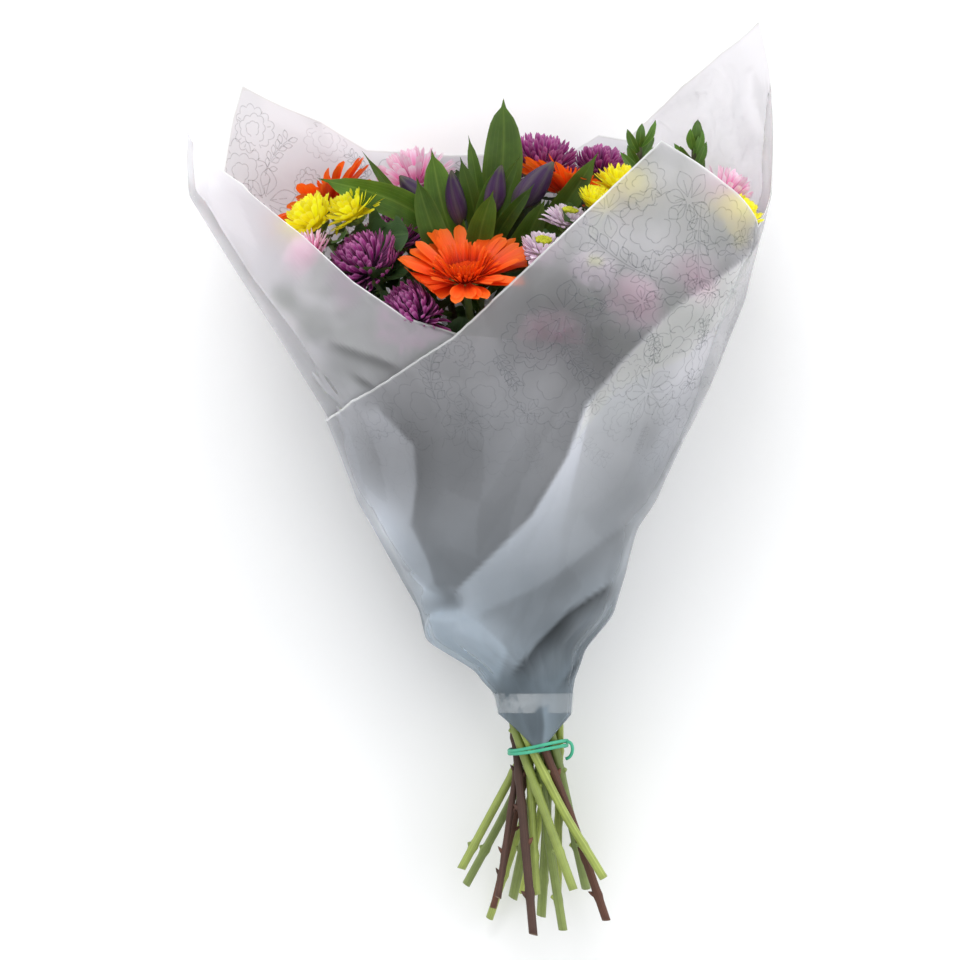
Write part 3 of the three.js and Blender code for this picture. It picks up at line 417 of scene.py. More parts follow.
class Shader:
    """A material's node tree, with short ways to add to it."""

    def __init__(self, name):
        self.material = bpy.data.materials.new(name)
        self.material.use_nodes = True
        self.tree = self.material.node_tree
        self.tree.nodes.clear()
        self.output = self.tree.nodes.new("ShaderNodeOutputMaterial")

    def add(self, kind, inputs=None, **settings):
        made = self.tree.nodes.new("ShaderNode" + kind)
        for key, value in settings.items():
            setattr(made, key, value)
        for key, value in (inputs or {}).items():
            if isinstance(value, bpy.types.NodeSocket):
                self.tree.links.new(value, made.inputs[key])
            else:
                made.inputs[key].default_value = value
        return made

    def marks(self):
        """The along, across and draw values of the surface."""
        attribute = self.add("Attribute", attribute_name="mark")
        parts = self.add("SeparateColor", {0: attribute.outputs["Color"]})
        return parts.outputs[0], parts.outputs[1], parts.outputs[2]

    def ramp(self, factor, stops):
        made = self.add("ValToRGB", {0: factor})
        elements = made.color_ramp.elements
        while len(elements) < len(stops):
            elements.new(0.5)
        for element, (place, code) in zip(elements, stops):
            element.position = place
            element.color = rgb(code) if isinstance(code, str) else (code, code, code, 1)
        return made.outputs[0]

    def maths(self, operation, a, b=0.0, c=0.0):
        return self.add("Math", {0: a, 1: b, 2: c}, operation=operation).outputs[0]

    def mix(self, factor, a, b, way="MIX"):
        made = self.add("Mix", {0: factor, 6: a, 7: b}, data_type="RGBA", blend_type=way)
        made.clamp_result = True
        return made.outputs[2]

    def tint(self, colour, code, amount, share):
        """The colour mixed with another by a share of the amount."""
        return self.mix(self.maths("MULTIPLY", amount, share), colour, rgb(code))

    def rim(self, across, power):
        """A value that rises to 1 at the sides of a petal or leaf."""
        side = self.maths("MULTIPLY_ADD", across, 2.0, -1.0)
        return self.maths("POWER", self.maths("ABSOLUTE", side), power)

    def shaded(self, colour, amount, low, high):
        """The colour times a value that runs from low to high with the amount."""
        value = self.maths("MULTIPLY_ADD", amount, high - low, low)
        grey = self.add("CombineColor", {0: value, 1: value, 2: value}).outputs[0]
        return self.mix(1.0, colour, grey, "MULTIPLY")

    def noise(self, scale, detail, vector=None):
        if vector is None:
            vector = self.add("TexCoord").outputs["Object"]
        inputs = {"Vector": vector, "Scale": scale, "Detail": detail, "Roughness": 0.55}
        return self.add("TexNoise", inputs).outputs[0]

    def streaks(self, across_times, along_times):
        """A noise drawn out along the surface's length, other on each petal or leaf."""
        along, across, draw = self.marks()
        vector = self.add("CombineXYZ", {
            0: self.maths("MULTIPLY", across, across_times),
            1: self.maths("MULTIPLY", along, along_times),
            2: self.maths("MULTIPLY", draw, 40.0),
        })
        return self.noise(1.0, 2.0, vector.outputs[0])

    def bump(self, height, strength, distance):
        inputs = {"Height": height, "Strength": strength, "Distance": distance * MM}
        return self.add("Bump", inputs).outputs[0]

    def face(self, colour, rough, others=None):
        """A principled surface of the colour, with its other inputs by name."""
        inputs = {"Base Color": colour, "Roughness": rough, **(others or {})}
        return self.add("BsdfPrincipled", inputs).outputs[0]

    def blend(self, share, a, b):
        return self.add("MixShader", {0: share, 1: a, 2: b}).outputs[0]

    def finish(self, surface):
        self.tree.links.new(surface, self.output.inputs["Surface"])
        return self.material


def petal_material(name, stops, dark, edge, edge_share, through=0.3, rough=0.5):
    """stops colour the petal from foot to tip, dark its streaks and edge its rims."""
    s = Shader(name)
    along, across, draw = s.marks()
    colour = s.ramp(along, stops)
    streak = s.streaks(9.0, 1.2)
    colour = s.tint(colour, dark, s.ramp(streak, [(0.42, 1.0), (0.6, 0.0)]), 0.45)
    colour = s.tint(colour, edge, s.rim(across, 3.0), edge_share)
    colour = s.shaded(colour, draw, 0.82, 1.17)
    normal = s.bump(streak, 0.5, 0.5)
    face = s.face(colour, rough, {"Normal": normal, "Specular IOR Level": 0.35})
    glow = s.add("BsdfTranslucent", {"Color": colour, "Normal": normal})
    return s.finish(s.blend(through, face, glow.outputs[0]))


def floret_material(name, low, high):
    """Tightly packed florets, with painted shade: dark at their feet between them, lighter towards their
    tips.
    """
    s = Shader(name)
    along, _, draw = s.marks()
    # Painted shade: the florets' feet and the dome between them take the dark colour, the tips the light
    # one.
    colour = s.ramp(along, [(0.0, low), (0.55, high), (1.0, high)])
    grain = s.noise(900.0, 2.0)
    colour = s.tint(colour, low, grain, 0.5)
    colour = s.shaded(colour, draw, 0.8, 1.2)
    normal = s.bump(grain, 0.5, 0.6)
    return s.finish(s.face(colour, 0.8, {"Normal": normal, "Specular IOR Level": 0.1}))


def leaf_material(name, dark, light, vein, veins, rough=0.4, through=0.18):
    """veins is how many lighter lines run along the leaf."""
    s = Shader(name)
    along, across, draw = s.marks()
    patches = s.noise(60.0, 4.0)
    colour = s.mix(s.ramp(patches, [(0.35, 0.0), (0.7, 1.0)]), rgb(dark), rgb(light))
    lines = s.maths("ABSOLUTE", s.maths("SINE", s.maths("MULTIPLY", across, math.pi * veins)))
    lines = s.ramp(lines, [(0.0, 1.0), (0.3, 0.0)])
    colour = s.tint(colour, vein, lines, 0.16)
    rib = s.maths("ABSOLUTE", s.maths("SUBTRACT", across, 0.5))
    rib = s.ramp(rib, [(0.0, 1.0), (0.05, 0.0)])
    colour = s.tint(colour, vein, rib, 0.4)
    colour = s.tint(colour, vein, s.rim(across, 8.0), 0.35)
    colour = s.tint(colour, light, along, 0.25)
    colour = s.shaded(colour, draw, 0.5, 1.3)
    height = s.maths("ADD", s.maths("MULTIPLY", lines, -0.5), s.maths("MULTIPLY", patches, 0.5))
    normal = s.bump(height, 0.4, 0.5)
    face = s.face(colour, rough, {"Normal": normal, "Specular IOR Level": 0.3})
    glow = s.add("BsdfTranslucent", {"Color": s.mix(0.5, colour, rgb("9dbb3f"))})
    return s.finish(s.blend(through, face, glow.outputs[0]))


def stem_material(name, stops, others, ridge, rough, relief):
    """Colours from the cut end up, between two kinds by the stem's draw, with fine ridges."""
    s = Shader(name)
    along, _, draw = s.marks()
    blotch = s.noise(110.0, 4.0)
    ridges = s.streaks(14.0, 1.5)
    place = s.maths("ADD", along, s.maths("MULTIPLY_ADD", blotch, 0.012, -0.006))
    colour = s.mix(draw, s.ramp(place, stops), s.ramp(place, others))
    colour = s.tint(colour, ridge, s.ramp(ridges, [(0.4, 1.0), (0.6, 0.0)]), 0.4)
    colour = s.shaded(colour, blotch, 0.7, 1.3)
    height = s.maths("ADD", ridges, s.maths("MULTIPLY", s.noise(500.0, 3.0), relief))
    return s.finish(s.face(colour, rough, {"Normal": s.bump(height, 0.6, 0.5)}))


def film_material(name, low, high, clear, rough):
    """Frosted film, painted greyer low down as shade, and lighter or darker by the painted light and
    shade of its second mark.
    """
    s = Shader(name)
    along, tone, _ = s.marks()
    clouds = s.noise(14.0, 4.0)
    place = s.maths("ADD", along, s.maths("MULTIPLY_ADD", clouds, 0.2, -0.1))
    # The colour, painted greyer low down as shade, is multiplied by the tone mark's painted light and
    # shade.
    colour = s.shaded(s.ramp(place, [(0.1, low), (0.8, high)]), tone, 0.2, 1.8)
    through = s.ramp(along, [(0.15, clear * 0.66), (0.75, clear)])
    others = {"Transmission Weight": through, "IOR": 1.1, "Specular IOR Level": 0.2}
    others["Normal"] = s.bump(s.noise(70.0, 2.0), 0.12, 0.5)
    return s.finish(s.face(colour, rough, others))


def print_material():
    """Grey ink lines that fade where their mark is low."""
    s = Shader("film_print")
    along, _, _ = s.marks()
    broken = s.ramp(s.noise(500.0, 2.0), [(0.3, 0.6), (0.6, 1.0)])
    ink = s.maths("MULTIPLY", s.maths("MULTIPLY", along, 0.26), broken)
    clear = s.add("BsdfTransparent").outputs[0]
    return s.finish(s.blend(ink, clear, s.face(rgb("5f646d"), 0.5)))


def tape_material():
    s = Shader("clear_tape")
    waves = s.noise(36.0, 2.0)
    face = s.face(rgb("e9eef1"), 0.12, {"IOR": 1.45, "Normal": s.bump(waves, 0.5, 0.8)})
    clear = s.add("BsdfTransparent").outputs[0]
    cover = s.ramp(waves, [(0.4, 0.1), (0.75, 0.24)])
    return s.finish(s.blend(cover, clear, face))


def band_material():
    s = Shader("rubber")
    grain = s.noise(700.0, 3.0)
    patches = s.ramp(s.noise(60.0, 3.0), [(0.35, 0.0), (0.7, 1.0)])
    colour = s.mix(patches, rgb("2f9d78"), rgb("4db591"))
    return s.finish(s.face(colour, 0.5, {"Normal": s.bump(grain, 0.3, 0.3)}))


def floor_material():
    s = Shader("floor")
    colour = s.mix(s.noise(3.0, 2.0), rgb("f6f6f6"), rgb("fafafa"))
    return s.finish(s.face(colour, 0.9))


def make_materials():
    return {
        "gerbera": petal_material(
            "gerbera_petal", [(0.0, "b81c08"), (0.25, "e8380c"), (0.5, "fb5a10"), (1.0, "ff7a20")],
            "f04c0c", "ff8c38", 0.2, through=0.36, rough=0.45),
        "purple": petal_material(
            "purple_petal", [(0.0, "520e42"), (0.4, "8e2474"), (0.75, "a53888"), (1.0, "cf82b8")],
            "6f1a60", "d79ac9", 0.55),
        "yellow": petal_material(
            "yellow_petal", [(0.0, "ece010"), (0.3, "fff214"), (0.8, "fff82a"), (1.0, "fffc6a")],
            "fbe80e", "fffb84", 0.3, through=0.5),
        "pink": petal_material(
            "pink_petal", [(0.0, "c63a90"), (0.3, "f08cc2"), (0.6, "fac6e0"), (0.85, "fdecf5")],
            "ea8cc0", "fff4fa", 0.6, through=0.42),
        "lilac": petal_material(
            "lilac_petal", [(0.0, "d0c49c"), (0.2, "e2cbe0"), (0.7, "f0dfee"), (1.0, "fbf3fa")],
            "d8b8d4", "fffaff", 0.45, through=0.4),
        "disc": floret_material("gerbera_floret", "7a1804", "d8420a"),
        "lime": floret_material("lime_floret", "6d7a1c", "c6c63e"),
        # A purple head's core, painted near black as the shade deep between its petals.
        "core": floret_material("painted_shade_core", "2a1026", "3b1a34"),
        "lance": leaf_material("lance_leaf", "2c4a14", "4c7020", "86a048", 9),
        "lobed": leaf_material("lobed_leaf", "1c3218", "2f4c24", "56733c", 5, 0.6, 0.1),
        "sprig": leaf_material("sprig_leaf", "34591f", "557f33", "8fae57", 1),
        "bud": petal_material(
            "bud_petal",
            [(0.0, "5d6e3c"), (0.22, "58485a"), (0.5, "452652"), (0.85, "3c2048"), (1.0, "5a5a40")],
            "28163a", "66684e", 0.3, through=0.1, rough=0.55),
        "green": stem_material(
            "green_stem",
            [(0.0, "c2cb92"), (0.012, "7c8c50"), (0.3, "66773f"), (1.0, "4c6531")],
            [(0.0, "dbe2a8"), (0.012, "b4c25a"), (0.3, "9fae4a"), (1.0, "5f7a35")],
            "5a6a34", 0.4, 0.35),
        "bark": stem_material(
            "brown_stem",
            [(0.0, "a08a70"), (0.012, "4b332a"), (0.4, "3f2b22"), (1.0, "454a2a")],
            [(0.0, "b09678"), (0.012, "6d4330"), (0.4, "553325"), (1.0, "45442a")],
            "2a1a14", 0.7, 1.5),
        # Film and border are painted greyer low down as shade, and carry painted light and shade in
        # their tone mark.
        "film": film_material("frosted_film", "88949d", "f4f3f6", 0.78, 0.8),
        "border": film_material("film_border", "d4d7d8", "f4f4f4", 0.35, 0.6),
        "print": print_material(),
        "tape": tape_material(),
        "band": band_material(),
    }


# Shapes shared by the flowers, leaves and stems


def petal_profile(rows, foot, widest, blunt):
    """Half widths along a petal, from its foot to its rounded tip."""
    t = np.linspace(0, 1, rows)
    grow = foot + (1 - foot) * smooth(t / widest)
    tip = np.clip((t - blunt) / (1 - blunt), 0, 1)
    return grow * np.sqrt(np.clip(1 - tip**2, 0, 1))


def petal_ring(count, root, length, width, lift, roll, profile, draw, columns=5, loose=1.0):
    """Petals round the Z axis as count × rows × columns points, with their marks."""
    rows = len(profile)
    t = np.linspace(0, 1, rows)
    u = np.linspace(-1, 1, columns)
    turn = (np.arange(count) + draw.uniform(-0.25, 0.25, count) * loose) * 2 * np.pi / count
    turn = (turn + draw.uniform(0, 2 * np.pi))[:, None, None]
    reach = length * (1 + draw.uniform(-0.09, 0.05, count) * loose)
    angle = np.interp(t, [0, 0.5, 1], lift)[None] + draw.normal(0, 4.0, (count, 1)) * loose
    angle = np.radians(angle + draw.normal(0, 5.0, (count, 1)) * loose * t**2)
    middle = (angle[:, 1:] + angle[:, :-1]) / 2
    step = reach[:, None] / (rows - 1)
    start = np.zeros((count, 1))
    out = root[0] + np.concatenate([start, np.cumsum(step * np.cos(middle), 1)], 1)
    up = root[1] + np.concatenate([start, np.cumsum(step * np.sin(middle), 1)], 1)
    curl = np.linspace(*roll, rows)[:, None]
    half = (width / 2 * profile)[:, None]
    side = (half * np.sin(u * curl) / curl)[None]
    rise = (half * (1 - np.cos(u * curl)) / curl)[None]
    twist = np.radians(draw.normal(0, 9.0, (count, 1, 1))) * loose
    cos, sin = np.cos(twist), np.sin(twist)
    side, rise = side * cos - rise * sin, side * sin + rise * cos
    radial = out[:, :, None] - rise * np.sin(angle)[:, :, None]
    height = up[:, :, None] + rise * np.cos(angle)[:, :, None]
    points = stacked(
        radial * np.cos(turn) - side * np.sin(turn), radial * np.sin(turn) + side * np.cos(turn), height
    )
    marks = stacked(t[None, :, None], (u[None, None] + 1) / 2, draw.uniform(0, 1, (count, 1, 1)))
    return points, np.broadcast_to(marks, points.shape)


def lathe(profile, sides=16):
    """(radius, height) points turned round Z, as one grid that closes on itself."""
    turn = np.arange(sides) * 2 * np.pi / sides
    profile = np.asarray(profile, float)
    ring = stacked(np.cos(turn), np.sin(turn), 0)
    return (profile[:, :1, None] * ring[None] + profile[:, 1:, None] * [0, 0, 1])[None]


def turned(points, axis, place):
    """Points about the Z axis moved to stand at place and point along axis."""
    turn = Vector((0, 0, 1)).rotation_difference(Vector(unit(axis))).to_matrix()
    return points @ np.array(turn).T + np.asarray(place, float)


def bezier(a, b, c, d, count):
    t = np.linspace(0, 1, count)[:, None]
    a, b, c, d = (np.asarray(p, float) for p in (a, b, c, d))
    return (1 - t) ** 3 * a + 3 * (1 - t) ** 2 * t * b + 3 * (1 - t) * t**2 * c + t**3 * d


def distances(line):
    """How far along the line each of its points lies."""
    return np.r_[0, np.cumsum(np.linalg.norm(np.diff(line, axis=0), axis=1))]


def at_distance(line, gone, places):
    return np.stack([np.interp(places, gone, line[:, k]) for k in range(3)], -1)


def resampled(line, count):
    """The line through the points with count points, evenly spaced and rounded at its bends."""
    gone = distances(line)
    made = at_distance(line, gone, np.linspace(0, gone[-1], count))
    for _ in range(4):
        made[1:-1] = (made[:-2] + 2 * made[1:-1] + made[2:]) / 4
    return made


def tube(line, radii, sides, slant=0.0):
    """A round bar along the line, closed at both ends, as one grid that closes on itself."""
    line = np.asarray(line, float)
    ahead = unit(np.gradient(line, axis=0))
    side = unit(np.cross(ahead, [0.0, 0.0, 1.0]))
    upward = np.cross(side, ahead)
    turn = np.arange(sides) * 2 * np.pi / sides
    ring = side[:, None] * np.cos(turn)[None, :, None] + upward[:, None] * np.sin(turn)[None, :, None]
    points = line[:, None] + np.asarray(radii)[:, None, None] * ring
    points[0] += slant * ahead[0] * (np.cos(turn)[:, None] * radii[0])
    ends = [np.repeat(points[k].mean(0)[None, None], sides, 1) for k in (0, -1)]
    return np.concatenate([ends[0], points, ends[1]])[None]


def tube_marks(grid, draw, low=0.0, high=1.0):
    rows, sides = grid.shape[1:3]
    along = np.linspace(low, high, rows)[:, None]
    across = np.abs(np.linspace(-1, 1, sides))[None]
    return stacked(along, across, draw)[None]


# Flower heads


def kind_of(name):
    return name.split("_")[0]


def facing_of(foot, face):
    return unit(face if face is not None else np.subtract(foot, DOME_FOCUS))


def middle_of(head):
    name, foot, radius, face = head
    share = 0.16 if kind_of(name) == "gerbera" else 0.4
    return np.add(foot, facing_of(foot, face) * radius * share)


def settled(name, points):
    """A head's petals, pressed back where they meet its neighbours or the film."""
    own = next(head for head in HEADS if head[0] == name)
    spread = {head[0]: head[2] * (1.35 if kind_of(head[0]) == "gerbera" else 1) for head in HEADS}
    for other in HEADS:
        gap = middle_of(other) - middle_of(own)
        distance = np.linalg.norm(gap)
        if other is own or distance > own[2] + other[2]:
            continue
        gap = gap / distance
        share = spread[name] / (spread[name] + spread[other[0]])
        past = (points - middle_of(own)) @ gap - distance * share
        room = SQUEEZE * np.exp(-(past + SQUEEZE) / SQUEEZE)
        moved = np.where(past > -SQUEEZE, -room - past, 0.0)
        points = points + moved[..., None] * gap
    return pressed(points)


def make_head(name, foot, radius, face):
    """Rings of petals, round a solid core unless the petals are a gerbera's flat straps."""
    kind = kind_of(name)
    draw = random_of(name)
    facing = facing_of(foot, face)
    piece = Piece(name + "_petals")
    strap = kind == "gerbera"
    for level, ring in enumerate(RINGS[kind]):
        count, start, height, length, width, lift, roll = ring
        rows, columns = (14, 7) if strap and level < 2 else (9, 5)
        profile = petal_profile(rows, *(STRAP if strap else PETAL))
        points, marks = petal_ring(
            count, (start * radius, height * radius), length * radius, width * radius, lift, roll,
            profile, draw, columns, LOOSE.get(kind, 1.0),
        )
        piece.grids(settled(name, turned(points, facing, foot)), marks, kind)
    if not strap:
        core = LOW_CORE if kind == "lilac" else CORE
        body = turned(lathe(np.multiply(core, radius)), facing, foot)
        # A purple head's core takes the near black core material, painted as shade between its petals.
        piece.grids(body, (0.1, 0.5, 0.3), "core" if kind == "purple" else kind, around=True)
    piece.done("orange_petal" if strap else kind + "_petal", name)


def make_centre(name, foot, radius, face):
    """Florets packed in a spiral over the middle of the flower."""
    kind = kind_of(name)
    draw = random_of(name + "_centre")
    facing = facing_of(foot, face)
    end, material, slot, wide, deep, count, share = CENTRES[kind]
    low, high = (np.array(corner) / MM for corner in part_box(name + end))
    middle = (low + high) / 2
    if kind == "gerbera":
        middle = middle - facing * DISC_SINK
    wide = wide * radius
    down = -float(np.dot(middle - foot, facing))
    dome = turned(
        lathe([(0, down), (wide * 0.9, down), (wide, -deep * 0.1), (wide * 0.75, deep * 0.3),
               (wide * 0.4, deep * 0.42), (0, deep * 0.45)]),
        facing, middle,
    )
    piece = Piece(name + "_florets")
    piece.grids(dome, (0.1, 0.5, 0.4), material, around=True)
    golden = math.pi * (3 - math.sqrt(5))
    grids = []
    for i in range(count):
        out = math.sqrt((i + 0.5) / count)
        size = wide * share * (0.8 + 0.5 * out)
        ray = np.array([math.cos(i * golden), math.sin(i * golden)]) * out
        lean = unit([*(ray * 0.8), 1])
        place = [*(ray * wide * 0.95), deep * (0.42 - 0.5 * out**2)]
        tall = size * draw.uniform(1.6, 2.6)
        bead = lathe([(0, -size), (size, -size * 0.4), (size * 0.9, tall * 0.6), (0, tall)], 6)
        grids.append(turned(bead, lean, place)[0])
    grids = turned(np.array(grids), facing, middle)
    marks = np.zeros(grids.shape)
    marks[..., 0] = np.array([0.0, 0.2, 0.8, 1.0])[None, :, None]
    marks[..., 2] = draw.uniform(0, 1, (count, 1, 1))
    piece.grids(grids, marks, material, around=True)
    piece.done(slot, name + end)


# Stems and leaves


def packed(node):
    """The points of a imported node, and the pairs of them that its edges join."""
    mesh = bpy.data.objects[node].data
    edges = np.array([tuple(e.vertices) for e in mesh.edges])
    return np.array([v.co for v in mesh.vertices]) / MM, edges


def bar_middle(points, edges, height):
    """The middle of a packed stem's section at a height where it is a single bar."""
    a, b = points[edges.T]
    crossing = (a[:, 1] - height) * (b[:, 1] - height) < 0
    a, b = a[crossing], b[crossing]
    cut = a + (b - a) * ((height - a[:, 1]) / (b[:, 1] - a[:, 1]))[:, None]
    return (cut.min(0) + cut.max(0)) / 2


def stem_line(name, end, direction):
    """The stem's middle line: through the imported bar, then on to where it ends."""
    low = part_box("stem_" + name)[0][1] / MM
    bar = packed("stem_" + name)
    lower = [bar_middle(*bar, y) for y in np.linspace(low + 4, PACKED_TO, 22)]
    rise = unit(lower[-1] - lower[-4])
    first = lower[0] - unit(lower[1] - lower[0]) * 4
    reach = np.linalg.norm(np.subtract(end, lower[-1]))
    upper = bezier(
        lower[-1], lower[-1] + rise * reach * 0.35, end - direction * reach * 0.35, end, 24
    )
    return np.concatenate([[first], lower, upper[1:]])


def on_line(line, height):
    return line[max(1, int(np.argmax(line[:, 1] > height)))]


def add_leaf(piece, root, tip, half, kind, draw, up=(0, -0.25, 1), sag=3.0, bow=0.0):
    """A leaf from root to tip, kept inside the film unless it is a sprig's."""
    rows = {"lance": 19, "lobed": 27, "sprig": 9}[kind]
    t = np.linspace(0, 1, rows)
    if kind == "lance":
        widths = 0.14 + 0.86 * np.sin(np.pi * t**1.3) ** 0.85
        widths *= 1 - smooth((t - 0.86) / 0.14)
    elif kind == "sprig":
        widths = np.sin(np.pi * np.clip(t * 0.97 + 0.03, 0, 1)) ** 0.75
    else:
        lobes = 0.72 + 0.28 * np.sign(np.sin(t * 22)) * np.abs(np.sin(t * 22)) ** 0.6
        widths = np.where(t < 0.3, 0.12, np.sin(np.pi * (t - 0.28) / 0.74).clip(0, 1) ** 0.6 * lobes)
    root, tip = np.asarray(root, float), np.asarray(tip, float)
    length = np.linalg.norm(tip - root)
    ahead = (tip - root) / length
    side = unit(np.cross(ahead, up))
    face = np.cross(side, ahead)
    u = np.linspace(-1, 1, 7)
    wave = draw.uniform(-1, 1, 3)
    rise = 4 * sag * t * (1 - t) + length * 0.03 * wave[0] * np.sin(t * 5)
    sway = (bow + length * 0.03 * wave[1]) * np.sin(t * np.pi)
    fold = 0.3 + 0.1 * wave[2]
    across = u[None] * (half * widths)[:, None]
    ripple = 0.09 * half * np.sin(t * 14 + wave[0] * 3)[:, None] * (u**2)[None]
    points = (
        root
        + ahead * (t * length)[:, None, None]
        + side * (across + sway[:, None])[..., None]
        + face * (np.abs(across) * fold + rise[:, None] + ripple)[..., None]
    )
    marks = stacked(t[:, None], (u[None] + 1) / 2, draw.uniform())
    if kind != "sprig":
        points = pressed(points)
    piece.grids(points[None], marks[None], kind)


def stem_radii(line, radius, draw, woody):
    """The stem's thickness along its line, with a swelling at each leaf joint."""
    gone = distances(line)
    radii = radius * np.interp(gone, [0, 120, gone[-1]], [0.9, 0.92, 0.72])
    place = draw.uniform(14, 34)
    joints = []
    while place < gone[-1] - 30:
        radii += radius * 0.24 * np.exp(-(((gone - place) / (2.0 if woody else 1.5)) ** 2))
        joints.append(place)
        place += draw.uniform(24, 40) * (0.8 if woody else 1.3)
    return radii, gone, joints


def add_calyx(piece, foot, facing, wide, draw):
    """The green cup under a flower head, covered with small scales."""
    cup = lathe([(0, -SEAT - 1), (wide * 0.45, -SEAT - 0.6), (wide * 0.95, -SEAT * 0.4),
                 (wide * 1.05, -0.4), (0, -0.3)])
    piece.grids(turned(cup, facing, foot), (0.7, 0.5, 0.4), "green", around=True)
    for start, lift in ((0.62, 62), (0.85, 48)):
        points, marks = petal_ring(
            13, (wide * start, -SEAT * 0.9), SEAT * 1.25, wide * 0.42, (lift, lift, lift - 14),
            (0.6, 0.4), petal_profile(5, 0.7, 0.4, 0.4), draw,
        )
        piece.grids(turned(points, facing, foot), marks * [0.3, 1, 1] + [0.6, 0, 0], "green")


def inner_tip(root, draw):
    """A leaf tip in a random direction from root that stays well inside the wrapper."""
    turn = draw.uniform(0, 2 * np.pi)
    reach = INNER_LEAVES["reach"] * draw.uniform(0.7, 1.1)
    tip = root + np.array([math.cos(turn), 0, math.sin(turn)]) * reach
    tip[1] += draw.uniform(-4, 22)
    x, z = section(tip[1])
    share, most = math.hypot((tip[0] - x[0]) / x[1], (tip[2] - z[0]) / z[1]), INNER_LEAVES["inside"]
    if share > most:
        tip[0] = x[0] + (tip[0] - x[0]) * most / share
        tip[2] = z[0] + (tip[2] - z[0]) * most / share
    return tip


def add_joints(piece, line, gone, joints, radius, draw, woody):
    """A short pointed bud at each joint of a woody stem, or a leaf's stub on a green one."""
    material = "bark" if woody else "green"
    for k, place in enumerate(joints):
        at = at_distance(line, gone, place)
        ahead = unit(line[min(len(line) - 1, np.searchsorted(gone, place) + 1)] - at)
        out = unit(np.cross(ahead, [0, 0, 1])) * (1 if k % 2 else -1)
        out = out + [0, 0, draw.uniform(-0.3, 0.6)]
        stub = lathe(np.multiply(JOINT_BUD if woody else JOINT_STUB, (radius, 1)), 8)
        points = turned(stub, unit(out) + ahead, at + unit(out) * radius * 0.75)
        piece.grids(points, (0.1, 0.5, draw.uniform()), material, around=True)


def add_head_leaves(piece, foot, facing, radius, draw):
    """Lobed leaves that spread from the stalk below a flower head."""
    across = unit(np.cross(facing, [0.3, 0.2, 1.0]))
    around = np.cross(facing, across)
    start = draw.uniform(0, 2 * np.pi)
    for k in range(HEAD_LEAVES["each"]):
        angle = start + k * 2 * np.pi / HEAD_LEAVES["each"] + draw.uniform(-0.3, 0.3)
        out = across * math.cos(angle) + around * math.sin(angle)
        root = foot - facing * (HEAD_LEAVES["below"] + draw.uniform(0, 8))
        reach = radius * HEAD_LEAVES["reach"] * draw.uniform(0.8, 1.15)
        tip = root + out * reach - facing * draw.uniform(-3, 5)
        tip[2] = max(tip[2], 5.0)
        half = radius * HEAD_LEAVES["half"] * draw.uniform(0.85, 1.1)
        add_leaf(piece, root, tip, half, "lobed", draw, facing, 2.0)


def add_branches(piece, line, heads, tone):
    """The side stems of a spray, from the fork up to all but its first head."""
    fork = on_line(line, FORK)
    rise = unit(on_line(line, FORK + 10) - fork)
    for foot, facing, _, _ in heads[1:]:
        reach = np.linalg.norm(foot - fork)
        end = foot - facing * SEAT
        branch = bezier(fork, fork + rise * reach * 0.3, foot - facing * reach * 0.4, end, 24)
        grid = tube(branch, np.linspace(BRANCH * 1.15, BRANCH, 24), 10)
        piece.grids(grid, tube_marks(grid, tone, 0.6, 1.0), "green", around=True)


def add_inner_leaves(piece, line, draw):
    """Leaves all along a stem, which fill the bunch behind the film."""
    highest = min(INNER_LEAVES["to"], line[-1, 1] - 14)
    for height in np.linspace(INNER_LEAVES["from"], highest, INNER_LEAVES["each"]):
        root = on_line(line, height + draw.uniform(-6, 6))
        up = unit(draw.normal(0, 1, 3) + [0, 0.6, 0.6])
        half = INNER_LEAVES["half"] * draw.uniform(0.8, 1.2)
        add_leaf(piece, root, inner_tip(root, draw), half, "lobed", draw, up)


def add_bud_stalks(piece, line):
    """The thin stalks from the leafy stem to its buds."""
    for _, height, foot, tip, _ in BUDS:
        root = on_line(line, height)
        before = np.subtract(foot, np.subtract(tip, foot) * 0.3)
        grid = tube(bezier(root, root + [0, 8, 2], before, foot, 14), np.full(14, 1.2), 8)
        piece.grids(grid, tube_marks(grid, 0.8, 0.4, 0.9), "green", around=True)


def make_stem(name, radius, woody, names, top):
    """A stem with all that grows on it: side stems, cups under its heads, and leaves."""
    draw = random_of("stem_" + name)
    piece = Piece("stem_" + name + "_fine")
    rows = {head[0]: head[1:] for head in HEADS}
    heads = []
    for head in names:
        foot, wide, face = rows[head]
        heads.append((np.array(foot, float), facing_of(foot, face), wide, kind_of(head)))
    if heads:
        foot, facing, _, _ = heads[0]
        end = foot - facing * SEAT
    else:
        end, facing = np.array(top, float), np.array([0.0, 1.0, 0.0])
    line = resampled(stem_line(name, end, facing), 110)
    radii, gone, joints = stem_radii(line, radius, draw, woody)
    tone = draw.uniform(0.0, 1.0)
    grid = tube(line, radii, 14, draw.uniform(-0.35, 0.35))
    piece.grids(grid, tube_marks(grid, tone), "bark" if woody else "green", around=True)
    add_joints(piece, line, gone, [j for j in joints if j < LAST_JOINT], radius, draw, woody)
    add_branches(piece, line, heads, tone)
    for foot, facing, wide, kind in heads:
        add_calyx(piece, foot, facing, wide * CUP.get(kind, CUP["other"]), draw)
        if kind != "gerbera":
            add_head_leaves(piece, foot, facing, wide, draw)
    for kind, height, tip, half, bow in LEAVES.get(name, []):
        add_leaf(piece, on_line(line, height), tip, half, kind, draw, bow=bow)
    if name in SPRIGS:
        add_sprig(piece, line, SPRIGS[name], draw)
    elif not name.startswith("gerbera"):
        add_inner_leaves(piece, line, draw)
    if name == "alstroemeria":
        add_bud_stalks(piece, line)
    piece.done("brown_stem" if woody else "green_stem", "stem_" + name)


